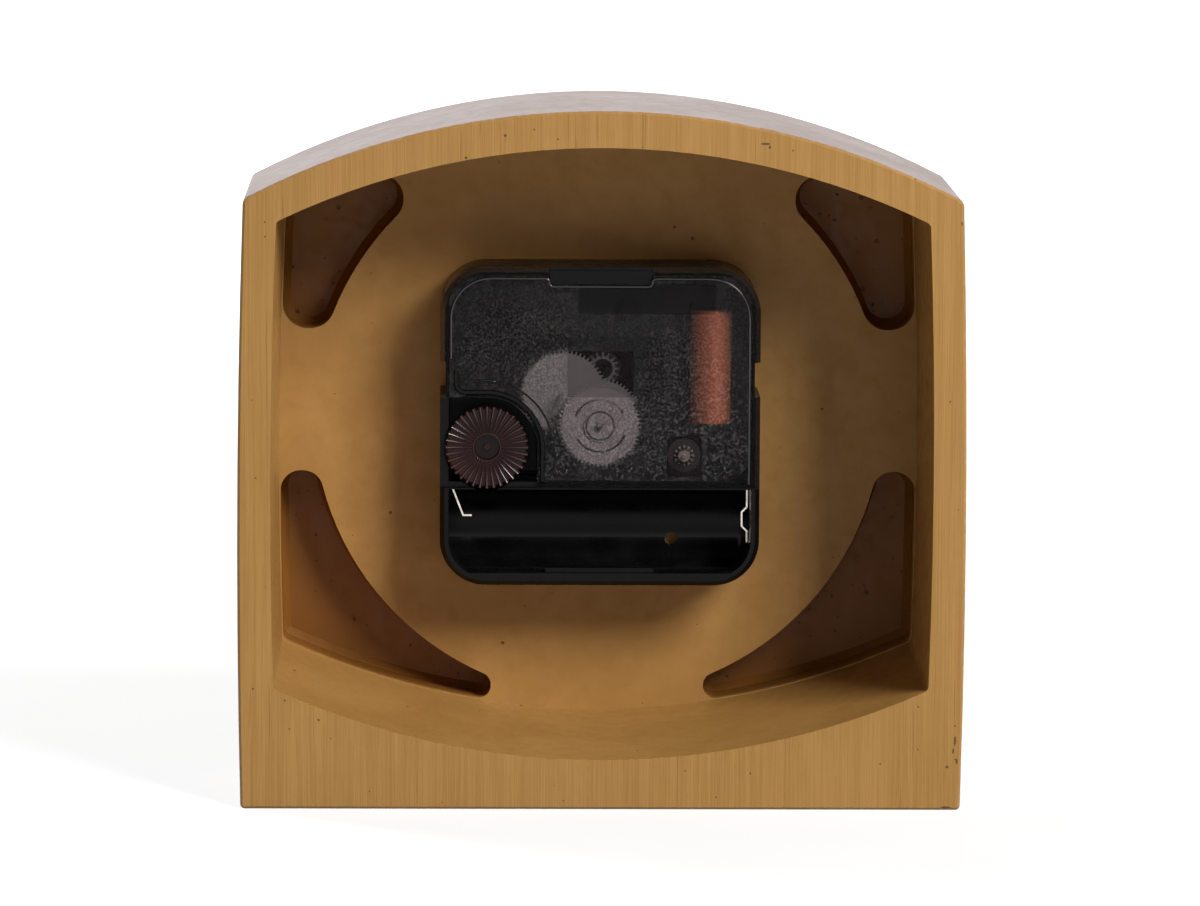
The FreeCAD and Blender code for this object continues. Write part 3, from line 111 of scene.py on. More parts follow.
def blend(tree, factor, first, second):
    """Two colours mixed by a factor."""
    wires = {0: factor, MIX_FIRST: first, MIX_SECOND: second}
    return add(tree, "ShaderNodeMix", wires, data_type="RGBA").outputs[MIX_RESULT]


def noise(tree, vector, scale, detail=3.0, rough=0.5):
    """A cloudy pattern, scale in features per metre."""
    wires = {"Vector": vector, "Scale": scale, "Detail": detail, "Roughness": rough}
    return add(tree, "ShaderNodeTexNoise", wires).outputs["Fac"]


def stretched(tree, vector, scale, turn=(0.0, 0.0, 0.0), place=(0.0, 0.0, 0.0)):
    """Coordinates stretched and turned for a pattern with a direction."""
    wires = {"Vector": vector, "Scale": scale, "Rotation": turn, "Location": place}
    return add(tree, "ShaderNodeMapping", wires).outputs[0]


def rgb(red, green, blue):
    """A colour from its 0 to 255 values on a screen."""
    line = (v / 255 for v in (red, green, blue))
    return (*(v / 12.92 if v < 0.04045 else ((v + 0.055) / 1.055) ** 2.4 for v in line), 1.0)


def new_group(name, inputs, outputs):
    """An empty node group with named inputs and outputs."""
    group = bpy.data.node_groups.new(name, "ShaderNodeTree")
    for label, kind, value in inputs:
        item = group.interface.new_socket(label, in_out="INPUT", socket_type=kind)
        if value is not None:
            item.default_value = value
    for label, kind in outputs:
        group.interface.new_socket(label, in_out="OUTPUT", socket_type=kind)
    return group, group.nodes.new("NodeGroupInput"), group.nodes.new("NodeGroupOutput")


FLOAT, VECTOR = "NodeSocketFloat", "NodeSocketVector"


def grain_group():
    """Fine texture of a moulded face: a tone for colour and roughness, and a height."""
    group, start, end = new_group(
        "moulded grain", [("Vector", VECTOR, None), ("Scale", FLOAT, 4000.0)],
        [("Tone", FLOAT), ("Height", FLOAT)])
    fine = noise(group, start.outputs["Vector"], start.outputs["Scale"], 4.0, 0.6)
    wide_scale = sums(group, "MULTIPLY", start.outputs["Scale"], 0.03)
    wide = noise(group, start.outputs["Vector"], wide_scale, 3.0, 0.5)
    group.links.new(wide, end.inputs["Tone"])
    group.links.new(sums(group, "MULTIPLY_ADD", wide, 0.4, fine), end.inputs["Height"])
    return group


def dust_group():
    """Dust that settles on faces that look up, in uneven patches."""
    group, start, end = new_group(
        "settled dust",
        [("Vector", VECTOR, None), ("Normal", VECTOR, None), ("Amount", FLOAT, 0.3)],
        [("Mask", FLOAT)])
    up = parts_of(group, start.outputs["Normal"])["Z"]
    patches = noise(group, start.outputs["Vector"], 260.0, 6.0, 0.7)
    specks = noise(group, start.outputs["Vector"], 3600.0, 2.0, 0.8)
    both = sums(group, "MULTIPLY", step(group, patches, 0.4, 0.7), step(group, specks, 0.45, 0.7))
    lies = sums(group, "MULTIPLY", both, step(group, up, -0.1, 0.9, 0.15, 1.0))
    group.links.new(sums(group, "MULTIPLY", lies, start.outputs["Amount"], clamp=True),
                    end.inputs["Mask"])
    return group


def pits_group():
    """Small open air bubbles of a casting: sparse round holes, which the resin's finish paints dark
    as painted shade.
    """
    group, start, end = new_group(
        "air pits", [("Vector", VECTOR, None), ("Scale", FLOAT, 120.0), ("Size", FLOAT, 0.12),
                     ("Share", FLOAT, 0.2)],
        [("Mask", FLOAT)])
    wires = {"Vector": start.outputs["Vector"], "Scale": start.outputs["Scale"]}
    cells = add(group, "ShaderNodeTexVoronoi", wires, feature="F1")
    lot = add(group, "ShaderNodeSeparateColor", {0: cells.outputs["Color"]})
    chosen = sums(group, "LESS_THAN", lot.outputs[0], start.outputs["Share"])
    size = sums(group, "MULTIPLY", start.outputs["Size"],
                sums(group, "MULTIPLY_ADD", lot.outputs[1], 0.8, 0.4))
    hole = sums(group, "SUBTRACT", 1.0, sums(group, "DIVIDE", cells.outputs["Distance"], size),
                clamp=True)
    sharp = step(group, hole, 0.0, 0.35)
    group.links.new(sums(group, "MULTIPLY", sharp, chosen), end.inputs["Mask"])
    return group


def box_group():
    """A soft-edged rectangle in the plane of the movement's back."""
    group, start, end = new_group(
        "window area",
        [("Vector", VECTOR, None), ("Centre X", FLOAT, 0.0), ("Centre Z", FLOAT, 0.0),
         ("Half X", FLOAT, 0.005), ("Half Z", FLOAT, 0.005), ("Round", FLOAT, 0.0003)],
        [("Mask", FLOAT)])
    place = parts_of(group, start.outputs["Vector"])
    reach = []
    for axis, centre, half in (("X", "Centre X", "Half X"), ("Z", "Centre Z", "Half Z")):
        away = sums(group, "ABSOLUTE", sums(group, "SUBTRACT", place[axis],
                                            start.outputs[centre]))
        past = sums(group, "SUBTRACT", away, sums(group, "SUBTRACT", start.outputs[half],
                                                  start.outputs["Round"]))
        reach.append(sums(group, "MAXIMUM", past, 0.0))
    flat = add(group, "ShaderNodeCombineXYZ", {0: reach[0], 1: reach[1]})
    length = length_of(group, flat.outputs[0])
    edge = sums(group, "SUBTRACT", length, start.outputs["Round"])
    group.links.new(step(group, edge, 0.0001, -0.0001), end.inputs["Mask"])
    return group


def chip_group():
    """One small ragged chip or pit at a place on the rear rim."""
    group, start, end = new_group(
        "rim chip", [("Vector", VECTOR, None), ("Centre X", FLOAT, 0.0), ("Centre Z", FLOAT, 0.0),
                     ("Half X", FLOAT, 0.001), ("Half Z", FLOAT, 0.001)],
        [("Mask", FLOAT)])
    place = parts_of(group, start.outputs["Vector"])
    far = []
    for axis, centre, half in (("X", "Centre X", "Half X"), ("Z", "Centre Z", "Half Z")):
        away = sums(group, "SUBTRACT", place[axis], start.outputs[centre])
        far.append(sums(group, "DIVIDE", away, start.outputs[half]))
    flat = add(group, "ShaderNodeCombineXYZ", {0: far[0], 1: far[1]})
    length = length_of(group, flat.outputs[0])
    ragged = noise(group, start.outputs["Vector"], 2600.0, 3.0, 0.7)
    edge = sums(group, "MULTIPLY_ADD", ragged, 1.6, sums(group, "SUBTRACT", length, 0.8))
    group.links.new(step(group, edge, 1.05, 0.8), end.inputs["Mask"])
    return group


GRAIN, DUST, PITS = grain_group(), dust_group(), pits_group()
WINDOW, CHIP = box_group(), chip_group()

# chips and pits of the rear rim: centre across and up, half width and half height, in mm
CHIPS = ((-27.6, 115.6, 0.9, 0.22), (-28.3, 115.0, 0.22, 0.3), (-61.3, 12.2, 0.2, 1.0),
         (-61.0, 10.4, 0.16, 0.5), (-61.6, 8.6, 0.2, 0.5), (-59.8, 0.5, 0.8, 0.2),
         (48.8, 15.6, 0.22, 0.22), (54.6, 19.0, 0.2, 0.2), (60.1, 21.0, 0.18, 0.2),
         (53.8, 14.0, 0.16, 0.16), (12.0, 117.9, 0.14, 0.2), (40.0, 3.1, 0.16, 0.14),
         (-20.0, 2.2, 0.18, 0.14), (-61.4, 102.0, 0.15, 0.4), (33.0, 110.4, 0.14, 0.14))

# where each region of the case's finish starts and ends, in metres
SKIN_SIDE, SKIN_ARCH = (0.0612, 0.0616), (0.1317, 0.1321)
SKIN_FRONT, SKIN_BASE, SKIN_REAR = (-0.0226, -0.0230), (0.0006, 0.0002), (0.0248, 0.0242)
REAR_RIM, POCKET_LIP, POCKET_SHADE_DEPTHS = (0.0246, 0.0249), (-0.0112, -0.0118), (-0.0112, -0.0135)
ARCH_BELOW_BASE = 0.0114  # how far the arch's centre lies under the base

# the cover's polished windows: centre across and up from the shaft, half sizes, corner, in mm
POLISHED = ((0.0, 9.35, 5.8, 4.1, 0.3), (-14.75, -5.1, 3.1, 3.6, 0.9),
            (-8.1, 22.5, 12.0, 2.6, 0.2))
FROSTED_FIELD = (0.0, 8.6, 26.4, 18.0, 5.0)

WIRE_PITCH = 0.00022  # from turn to turn of the coil, in metres


def use(tree, group, **wires):
    """One shared effect placed in a material."""
    node = tree.nodes.new("ShaderNodeGroup")
    node.node_tree = group
    for name, value in wires.items():
        feed(tree, node.inputs[name.replace("_", " ")], value)
    return node


def finish_named(name, **plain):
    """A new material: its tree, its shader and its Object coordinates."""
    material = bpy.data.materials.new(name)
    material.use_nodes = True
    tree = material.node_tree
    shader = tree.nodes["Principled BSDF"]
    for label, value in plain.items():
        shader.inputs[label.replace("_", " ")].default_value = value
    coords = tree.nodes.new("ShaderNodeTexCoord")
    return material, tree, shader, coords


def bump(tree, shader, height, strength, depth):
    """Relief on the shader's normal from a height pattern, depth in metres."""
    node = add(tree, "ShaderNodeBump", {"Height": height, "Strength": strength, "Distance": depth})
    tree.links.new(node.outputs[0], shader.inputs["Normal"])


def cover_with(tree, shader, paint, rough):
    """Colour and roughness on the shader."""
    tree.links.new(paint, shader.inputs["Base Color"])
    tree.links.new(rough, shader.inputs["Roughness"])


# ---------------------------------------------------------------- finishes


def moulded(name, colour, paler, rough=0.4, scale=5000.0, depth=20 * UM, dust=0.2, edges=0.0,
            painted_hollow_shade=None, **plain):
    """Moulded plastic: fine grain, uneven tone and gloss, a little dust, polished edges, and
    painted shade below a height when asked.

    The hollow shade is a start and an end out of the back, in mm, and the darker colour painted
    below them as shade.
    """
    material, tree, shader, coords = finish_named(name, **plain)
    place = coords.outputs["Object"]
    grain = use(tree, GRAIN, Vector=place, Scale=scale)
    tone = step(tree, grain.outputs["Tone"], 0.3, 0.7)
    paint = blend(tree, tone, colour, paler)
    dusty = use(tree, DUST, Vector=place, Normal=coords.outputs["Normal"], Amount=dust)
    paint = blend(tree, dusty.outputs["Mask"], paint, rgb(150, 146, 140))
    # painted shade: below the given height, as in the hollows between ribs, the colour is painted
    # darker
    if painted_hollow_shade:
        height = parts_of(tree, place)["Y"]
        below, above, dark = painted_hollow_shade
        paint = blend(tree, step(tree, height, below * MM, above * MM), dark, paint)
    if edges:
        facing = parts_of(tree, coords.outputs["Normal"])["Y"]
        facing = sums(tree, "ABSOLUTE", facing)
        turned = sums(tree, "MULTIPLY", step(tree, facing, 0.98, 0.9),
                      step(tree, facing, 0.2, 0.35))
        tree.links.new(sums(tree, "MULTIPLY", turned, edges), shader.inputs["Coat Weight"])
    gloss = step(tree, grain.outputs["Tone"], 0.25, 0.75, rough - 0.06, rough + 0.08)
    gloss = sums(tree, "MULTIPLY_ADD", dusty.outputs["Mask"], 0.3, gloss)
    cover_with(tree, shader, paint, gloss)
    bump(tree, shader, grain.outputs["Height"], 0.35, depth)
    return material


def metal(name, colour, duller, rough=0.25, lines=(200.0, 6000.0, 200.0)):
    """Metal with fine drawn or turned lines and slightly tarnished patches."""
    material, tree, shader, coords = finish_named(name, Metallic=1.0)
    place = coords.outputs["Object"]
    drawn = noise(tree, stretched(tree, place, lines), 1.0, 4.0, 0.6)
    patches = noise(tree, place, 220.0, 5.0, 0.65)
    paint = blend(tree, step(tree, patches, 0.42, 0.68), colour, duller)
    shine = sums(tree, "ADD", step(tree, drawn, 0.3, 0.7, rough - 0.07, rough + 0.07),
                 step(tree, patches, 0.4, 0.75, 0.0, 0.12))
    cover_with(tree, shader, paint, shine)
    bump(tree, shader, drawn, 0.3, 10 * UM)
    return material


def nickel_strip():
    """Plated strip: bright where the cell rubs it, and above the bay duller and painted dark as
    painted shade.
    """
    material, tree, shader, coords = finish_named("nickel_strip", Metallic=1.0)
    place = coords.outputs["Object"]
    drawn = noise(tree, stretched(tree, place, (500.0, 500.0, 4000.0)), 1.0, 4.0, 0.6)
    patches = noise(tree, place, 420.0, 5.0, 0.65)
    height = parts_of(tree, place)["Z"]
    above = step(tree, height, (SHAFT_Z - 11.6) * MM, (SHAFT_Z - 10.8) * MM)
    paint = blend(tree, step(tree, patches, 0.4, 0.68), rgb(222, 214, 204), rgb(176, 164, 150))
    # painted shade: the strip is painted dark above the bay
    paint = blend(tree, above, paint, rgb(46, 42, 40))
    shine = step(tree, drawn, 0.3, 0.7, 0.14, 0.26)
    cover_with(tree, shader, paint, sums(tree, "MULTIPLY_ADD", above, 0.4, shine))
    bump(tree, shader, drawn, 0.3, 10 * UM)
    return material


def painted_resin():
    """Cast resin: sanded gold rear and hollow, pale outside, air pits, chips and wear, with painted
    shade in the corner pockets, pits and chips.
    """
    material, tree, shader, coords = finish_named("painted_resin", Specular_IOR_Level=0.22)
    place = coords.outputs["Object"]
    parts = parts_of(tree, place)
    x, y, z = parts
    # where the outside skin is: past the sides, over the arch, in front, and underneath
    side = step(tree, sums(tree, "ABSOLUTE", x), *SKIN_SIDE)
    up = sums(tree, "ADD", z, ARCH_BELOW_BASE)
    arch = sums(tree, "SQRT", sums(tree, "ADD", sums(tree, "MULTIPLY", x, x),
                                   sums(tree, "MULTIPLY", up, up)))
    skin = sums(tree, "MAXIMUM", side, step(tree, arch, *SKIN_ARCH))
    skin = sums(tree, "MAXIMUM", skin, step(tree, y, *SKIN_FRONT))
    skin = sums(tree, "MAXIMUM", skin, step(tree, z, *SKIN_BASE))
    ragged = noise(tree, place, 900.0, 4.0, 0.6)
    edge = sums(tree, "MULTIPLY_ADD", ragged, 0.0012, sums(tree, "SUBTRACT", y, 0.0006))
    skin = sums(tree, "MULTIPLY", skin, step(tree, edge, *SKIN_REAR))
    rear = step(tree, y, *REAR_RIM)
    # sanding lines of the rear rim, a little off the upright
    fine, broad, deep = (
        noise(tree, stretched(tree, place, lines, (0.0, lean, 0.0)), 1.0, detail, rough)
        for lines, lean, detail, rough in (
            ((3400.0, 900.0, 60.0), 0.03, 3.0, 0.6), ((900.0, 300.0, 24.0), -0.05, 3.0, 0.5),
            ((1500.0, 300.0, 38.0), 0.07, 2.0, 0.5)))
    cut = step(tree, deep, 0.68, 0.74)
    clouds = noise(tree, place, 45.0, 5.0, 0.6)
    mottle = noise(tree, place, 420.0, 4.0, 0.6)
    gold = blend(tree, step(tree, clouds, 0.35, 0.68), rgb(160, 118, 62), rgb(173, 130, 72))
    gold = blend(tree, step(tree, mottle, 0.4, 0.75, 0.0, 0.35), gold, rgb(150, 108, 54))
    lined = sums(tree, "MULTIPLY", step(tree, fine, 0.35, 0.65), 0.5)
    lined = sums(tree, "MULTIPLY_ADD", step(tree, broad, 0.4, 0.66), 0.5, lined)
    rim_tone = blend(tree, lined, rgb(162, 120, 63), rgb(177, 135, 77))
    rim_tone = blend(tree, sums(tree, "MULTIPLY", cut, 0.5), rim_tone, rgb(138, 98, 48))
    gold = blend(tree, sums(tree, "MULTIPLY", rear, 0.75), gold, rim_tone)
    # painted shade: the corner pockets are painted one even step darker and warmer than the
    # plateau, at a guessed strength
    gold = blend(tree, step(tree, y, *POCKET_SHADE_DEPTHS), gold, rgb(128, 82, 32))
    pale = blend(tree, step(tree, clouds, 0.35, 0.7), rgb(164, 151, 148), rgb(179, 168, 165))
    pale = blend(tree, step(tree, mottle, 0.45, 0.75, 0.0, 0.5), pale, rgb(155, 141, 137))
    paint = blend(tree, skin, gold, pale)
    low = step(tree, y, *POCKET_LIP, 0.1, 1.0)
    share = sums(tree, "MULTIPLY", low, sums(tree, "SUBTRACT", 1.0, skin))
    pits = use(tree, PITS, Vector=place, Scale=300.0, Size=0.115, Share=share)
    elsewhere = stretched(tree, place, (1.0, 1.0, 1.0), place=mm(13.0, 7.0, 21.0))
    small = use(tree, PITS, Vector=elsewhere, Scale=620.0, Size=0.11,
                Share=sums(tree, "MULTIPLY", share, 0.7))
    holes = sums(tree, "MAXIMUM", pits.outputs["Mask"], small.outputs["Mask"])
    for at_x, at_z, half_x, half_z in CHIPS:
        chip = use(tree, CHIP, Vector=place, Centre_X=at_x * MM, Centre_Z=at_z * MM,
                   Half_X=half_x * MM, Half_Z=half_z * MM)
        holes = sums(tree, "MAXIMUM", holes, sums(tree, "MULTIPLY", chip.outputs["Mask"], rear))
    # painted shade: the pits and chips are painted dark where their hollows would be in shade
    paint = blend(tree, sums(tree, "MULTIPLY", holes, 0.75), paint, rgb(60, 38, 16))
    rough = step(tree, mottle, 0.3, 0.7, 0.36, 0.5)
    rough = sums(tree, "MULTIPLY_ADD", rear, 0.08, rough)
    rough = sums(tree, "MULTIPLY_ADD", skin, 0.22, rough)
    cover_with(tree, shader, paint, rough)
    relief = sums(tree, "MULTIPLY", rear, sums(tree, "MULTIPLY_ADD", cut, -0.8, lined))
    relief = sums(tree, "MULTIPLY_ADD", mottle, 0.25, relief)
    relief = sums(tree, "MULTIPLY_ADD", holes, -4.0, relief)
    bump(tree, shader, relief, 0.4, 100 * UM)
    return material


def light_through(tree, shader, tint):
    """What lies behind clear plastic or glass gets its light straight through it."""
    clear = add(tree, "ShaderNodeBsdfTransparent", {"Color": tint})
    light = add(tree, "ShaderNodeLightPath")
    straight = sums(tree, "MAXIMUM", light.outputs["Is Shadow Ray"],
                    light.outputs["Is Diffuse Ray"])
    mix = add(tree, "ShaderNodeMixShader", {0: straight, 1: shader.outputs[0], 2: clear.outputs[0]})
    tree.links.new(mix.outputs[0], tree.nodes["Material Output"].inputs["Surface"])


def smoky_cover():
    """See-through smoky plastic: frosted, with polished windows.

    Its index is below real plastic's, which comes out milky in a room that is white all round.
    """
    material, tree, shader, coords = finish_named(
        "smoky_cover", Transmission_Weight=0.98, IOR=1.09, Metallic=0.0, Coat_Roughness=0.28,
        Coat_IOR=2.0)
    place = coords.outputs["Object"]
    parts = parts_of(tree, place)
    # its outer edge and the windows are polished
    field, *windows = (
        use(tree, WINDOW, Vector=place, Centre_X=centre_x * MM, Half_X=half_x * MM,
            Centre_Z=(SHAFT_Z + centre_z) * MM, Half_Z=half_z * MM,
            Round=corner * MM).outputs["Mask"]
        for centre_x, centre_z, half_x, half_z, corner in (FROSTED_FIELD, *POLISHED))
    clear = windows[0]
    for window in windows[1:]:
        clear = sums(tree, "MAXIMUM", clear, window)
    inside = step(tree, parts["Y"], 0.0041, 0.0044)
    frosted = sums(tree, "MULTIPLY", field, sums(tree, "SUBTRACT", 1.0, clear))
    frosted = sums(tree, "MULTIPLY", frosted, inside)
    facing = parts_of(tree, coords.outputs["Normal"])["Y"]
    polished = step(tree, facing, 0.99, 0.9, 0.0, 0.9)
    off_knob = length_of(tree, place, mm(KNOB_AT[0], COVER_BACK, KNOB_AT[1]))
    frosted = sums(tree, "MULTIPLY", frosted, step(tree, off_knob, 9.8 * MM, 10.1 * MM))
    speck = noise(tree, place, 3300.0, 2.0, 0.8)
    blotch = noise(tree, place, 500.0, 4.0, 0.6)
    rough = step(tree, blotch, 0.3, 0.7, 0.4, 0.52)
    rough = sums(tree, "MULTIPLY_ADD", frosted, sums(tree, "SUBTRACT", rough, 0.03), 0.03)
    haze = step(tree, parts["Z"], 0.084, 0.062, 0.35, 0.85)
    glints = sums(tree, "MULTIPLY", step(tree, speck, 0.56, 0.68), haze)
    glints = sums(tree, "MULTIPLY", glints, frosted)
    tree.links.new(sums(tree, "MAXIMUM", glints, polished), shader.inputs["Coat Weight"])
    # the lighter specks of the tint are the frost's grain and also painted glints
    tint = blend(tree, step(tree, speck, 0.42, 0.6), rgb(138, 134, 136), rgb(200, 195, 197))
    clear_tint = blend(tree, blotch, rgb(122, 118, 120), rgb(130, 126, 128))
    tint = blend(tree, frosted, clear_tint, tint)
    cover_with(tree, shader, tint, rough)
    bump(tree, shader, sums(tree, "MULTIPLY", speck, frosted), 0.15, 50 * UM)
    light_through(tree, shader, rgb(238, 234, 236))
    return material


def lens_glass():
    """Flat clear glass with faint smears."""
    material, tree, shader, coords = finish_named(
        "lens_glass", Transmission_Weight=1.0, IOR=1.5, Metallic=0.0)
    place = coords.outputs["Object"]
    smear = noise(tree, stretched(tree, place, (40.0, 40.0, 90.0), (0.0, 0.5, 0.0)), 1.0, 5.0, 0.6)
    tint = blend(tree, step(tree, smear, 0.3, 0.8), (0.96, 0.98, 0.97, 1), (0.93, 0.96, 0.95, 1))
    cover_with(tree, shader, tint, step(tree, smear, 0.45, 0.8, 0.01, 0.05))
    light_through(tree, shader, (0.95, 0.97, 0.96, 1))
    return material


def ringed(name, centre, radius, half, colour, dark):
    """Moulded acetal with a darker ring about its arbor: centre, radius and half width in mm."""
    material, tree, shader, coords = finish_named(name)
    place = coords.outputs["Object"]
    parts = parts_of(tree, place)
    flat = add(tree, "ShaderNodeCombineXYZ", {0: parts["X"], 1: parts["Z"]})
    away = length_of(tree, flat.outputs[0], mm(*centre, 0.0))
    off = sums(tree, "ABSOLUTE", sums(tree, "SUBTRACT", away, radius * MM))
    ring = step(tree, off, (half + 0.06) * MM, (half - 0.06) * MM)
    grain = use(tree, GRAIN, Vector=place, Scale=5200.0)
    tone, height = grain.outputs["Tone"], grain.outputs["Height"]
    paint = blend(tree, step(tree, tone, 0.3, 0.7, 0.0, 0.25), colour, (1, 1, 1, 1))
    paint = blend(tree, ring, paint, dark)
    cover_with(tree, shader, paint, step(tree, tone, 0.25, 0.75, 0.28, 0.4))
    bump(tree, shader, sums(tree, "MULTIPLY_ADD", ring, -2.0, height), 0.35, 30 * UM)
    return material


def copper_winding():
    """Enamelled wire in fine turns along the coil, painted darker between the turns as shade."""
    material, tree, shader, coords = finish_named("copper_winding", Metallic=0.35)
    place = coords.outputs["Object"]
    parts = parts_of(tree, place)
    turns = sums(tree, "SINE", sums(tree, "MULTIPLY", parts["Z"], 2 * math.pi / WIRE_PITCH))
    uneven = noise(tree, stretched(tree, place, (300.0, 300.0, 2600.0)), 1.0, 3.0, 0.6)
    paint = blend(tree, step(tree, uneven, 0.3, 0.7), rgb(246, 146, 102), rgb(255, 172, 130))
    # painted shade: the copper is painted darker along the grooves between turns
    paint = blend(tree, step(tree, turns, 0.2, -0.9, 0.0, 0.35), paint, rgb(150, 70, 44))
    cover_with(tree, shader, paint, step(tree, uneven, 0.3, 0.7, 0.55, 0.7))
    bump(tree, shader, turns, 0.6, 50 * UM)
    return material


def circuit_laminate():
    """Board with masked copper tracks."""
    material, tree, shader, coords = finish_named("circuit_laminate", Coat_Weight=0.3)
    place = coords.outputs["Object"]
    wires = {"Vector": stretched(tree, place, (420.0, 420.0, 420.0)), "Scale": 1.0}
    cells = add(tree, "ShaderNodeTexVoronoi", wires, feature="F1", distance="CHEBYCHEV")
    track = step(tree, cells.outputs["Distance"], 0.34, 0.38)
    weave = noise(tree, place, 2600.0, 2.0, 0.5)
    base = blend(tree, step(tree, weave, 0.3, 0.7), rgb(14, 22, 17), rgb(20, 28, 22))
    paint = blend(tree, sums(tree, "MULTIPLY", track, 0.7), base, rgb(30, 38, 28))
    cover_with(tree, shader, paint, step(tree, weave, 0.3, 0.7, 0.3, 0.42))
    bump(tree, shader, track, 0.4, 30 * UM)
    return material


def dial_enamel():
    """Off-white dial with a faint spread of tone."""
    material, tree, shader, coords = finish_named("dial_enamel", Coat_Weight=0.15)
    place = coords.outputs["Object"]
    wide = noise(tree, place, 40.0, 4.0, 0.5)
    fine = noise(tree, place, 1800.0, 3.0, 0.6)
    paint = blend(tree, step(tree, wide, 0.3, 0.7), rgb(232, 226, 212), rgb(238, 233, 221))
    paint = blend(tree, step(tree, fine, 0.55, 0.8, 0.0, 0.25), paint, rgb(220, 212, 196))
    cover_with(tree, shader, paint, step(tree, fine, 0.3, 0.7, 0.38, 0.5))
    bump(tree, shader, fine, 0.2, 10 * UM)
    return material


FINISHES = {
    "painted_resin": painted_resin(),
    "black_moulding": moulded(
        "black_moulding", rgb(8, 7, 8), rgb(12, 11, 12), rough=0.26, scale=4200.0, dust=0.03,
        edges=0.14, Specular_IOR_Level=0.1, Coat_IOR=1.9, Coat_Roughness=0.1),
    "plate_plastic": moulded(
        "plate_plastic", rgb(6, 6, 7), rgb(10, 10, 11), dust=0.0, Specular_IOR_Level=0.04),
    "smoky_cover": smoky_cover(),
    "bezel_brass": metal("bezel_brass", rgb(212, 172, 102), rgb(202, 160, 92), rough=0.2,
                         lines=(300.0, 5000.0, 300.0)),
    "turned_brass": metal("turned_brass", rgb(206, 166, 96), rgb(172, 130, 70), rough=0.26),
    "bright_steel": metal("bright_steel", rgb(190, 190, 192), rgb(150, 149, 150), rough=0.22),
    "nickel_strip": nickel_strip(),
    "washer_rubber": moulded(
        "washer_rubber", rgb(22, 22, 22), rgb(32, 31, 30), rough=0.75, scale=3000.0,
        depth=50 * UM, dust=0.3),
    "circuit_laminate": circuit_laminate(),
    "crystal_can": metal("crystal_can", rgb(120, 120, 122), rgb(92, 91, 91), rough=0.35),
    "chip_resin": moulded(
        "chip_resin", rgb(14, 14, 15), rgb(22, 21, 22), rough=0.28, scale=2500.0, depth=60 * UM),
    "bobbin_plastic": moulded(
        "bobbin_plastic", rgb(22, 21, 22), rgb(30, 29, 30), rough=0.42, Specular_IOR_Level=0.2),
    "copper_winding": copper_winding(),
    "soft_iron": metal("soft_iron", rgb(70, 68, 68), rgb(52, 50, 50), rough=0.45,
                       lines=(3000.0, 200.0, 200.0)),
    "magnet_ferrite": moulded(
        "magnet_ferrite", rgb(54, 52, 52), rgb(70, 68, 67), rough=0.5, scale=6000.0),
    "pale_acetal": moulded(
        "pale_acetal", rgb(194, 188, 181), rgb(208, 203, 197), rough=0.36, scale=5200.0,
        dust=0.08, Subsurface_Weight=0.1),
    "black_acetal": moulded(
        "black_acetal", rgb(18, 18, 19), rgb(27, 26, 27), rough=0.2, dust=0.0),
    # the black minute-work wheel is painted light grey outside its dark hub: painted glints on its
    # leaves
    "glint_painted_acetal": ringed("glint_painted_acetal", MINUTE_WORK_AT, 0.0, 1.75, rgb(150, 150, 152),
                          rgb(26, 26, 27)),
    # the dark ring about the seconds arbor is painted shade in the crease round its hub
    "seconds_acetal": ringed("seconds_acetal", (0.0, SHAFT_Z), 2.45, 0.16, rgb(190, 184, 177),
                             rgb(78, 74, 72)),
    "rotor_acetal": ringed("rotor_acetal", ROTOR_AT, 2.0, 0.95, rgb(214, 198, 172),
                           rgb(92, 88, 85)),
    "leaf_acetal": moulded(
        "leaf_acetal", rgb(206, 192, 168), rgb(218, 204, 180), rough=0.3, scale=5200.0,
        depth=10 * UM, dust=0.0),
    # the knob is painted darker between its ribs and in its sunk hub: painted shade
    "knob_plastic": moulded(
        "knob_plastic", rgb(54, 28, 27), rgb(64, 34, 33), rough=0.22, scale=5200.0, dust=0.02,
        edges=0.8, painted_hollow_shade=(4.3, 5.3, rgb(20, 8, 8)), Specular_IOR_Level=0.14, Coat_IOR=1.8,
        Coat_Roughness=0.22),
    "smoky_relief": moulded(
        "smoky_relief", rgb(7, 7, 8), rgb(11, 10, 11), rough=0.12, scale=3000.0, depth=10 * UM,
        dust=0.0, edges=0.22, Specular_IOR_Level=0.1, Coat_IOR=1.9),
    "polished_edge": moulded(
        "polished_edge", rgb(9, 9, 10), rgb(13, 12, 13), rough=0.12, scale=3000.0, depth=5 * UM,
        dust=0.0, Specular_IOR_Level=0.1, Coat_Weight=0.4, Coat_IOR=1.8, Coat_Roughness=0.06),
    "dial_enamel": dial_enamel(),
    "lens_glass": lens_glass(),
    "hand_paint": moulded(
        "hand_paint", rgb(16, 16, 17), rgb(24, 24, 25), rough=0.35, scale=4200.0, depth=10 * UM),
    "printed_black": moulded(
        "printed_black", rgb(20, 20, 21), rgb(30, 29, 29), rough=0.5, scale=9000.0, depth=5 * UM,
        dust=0.0, Specular_IOR_Level=0.3),
}

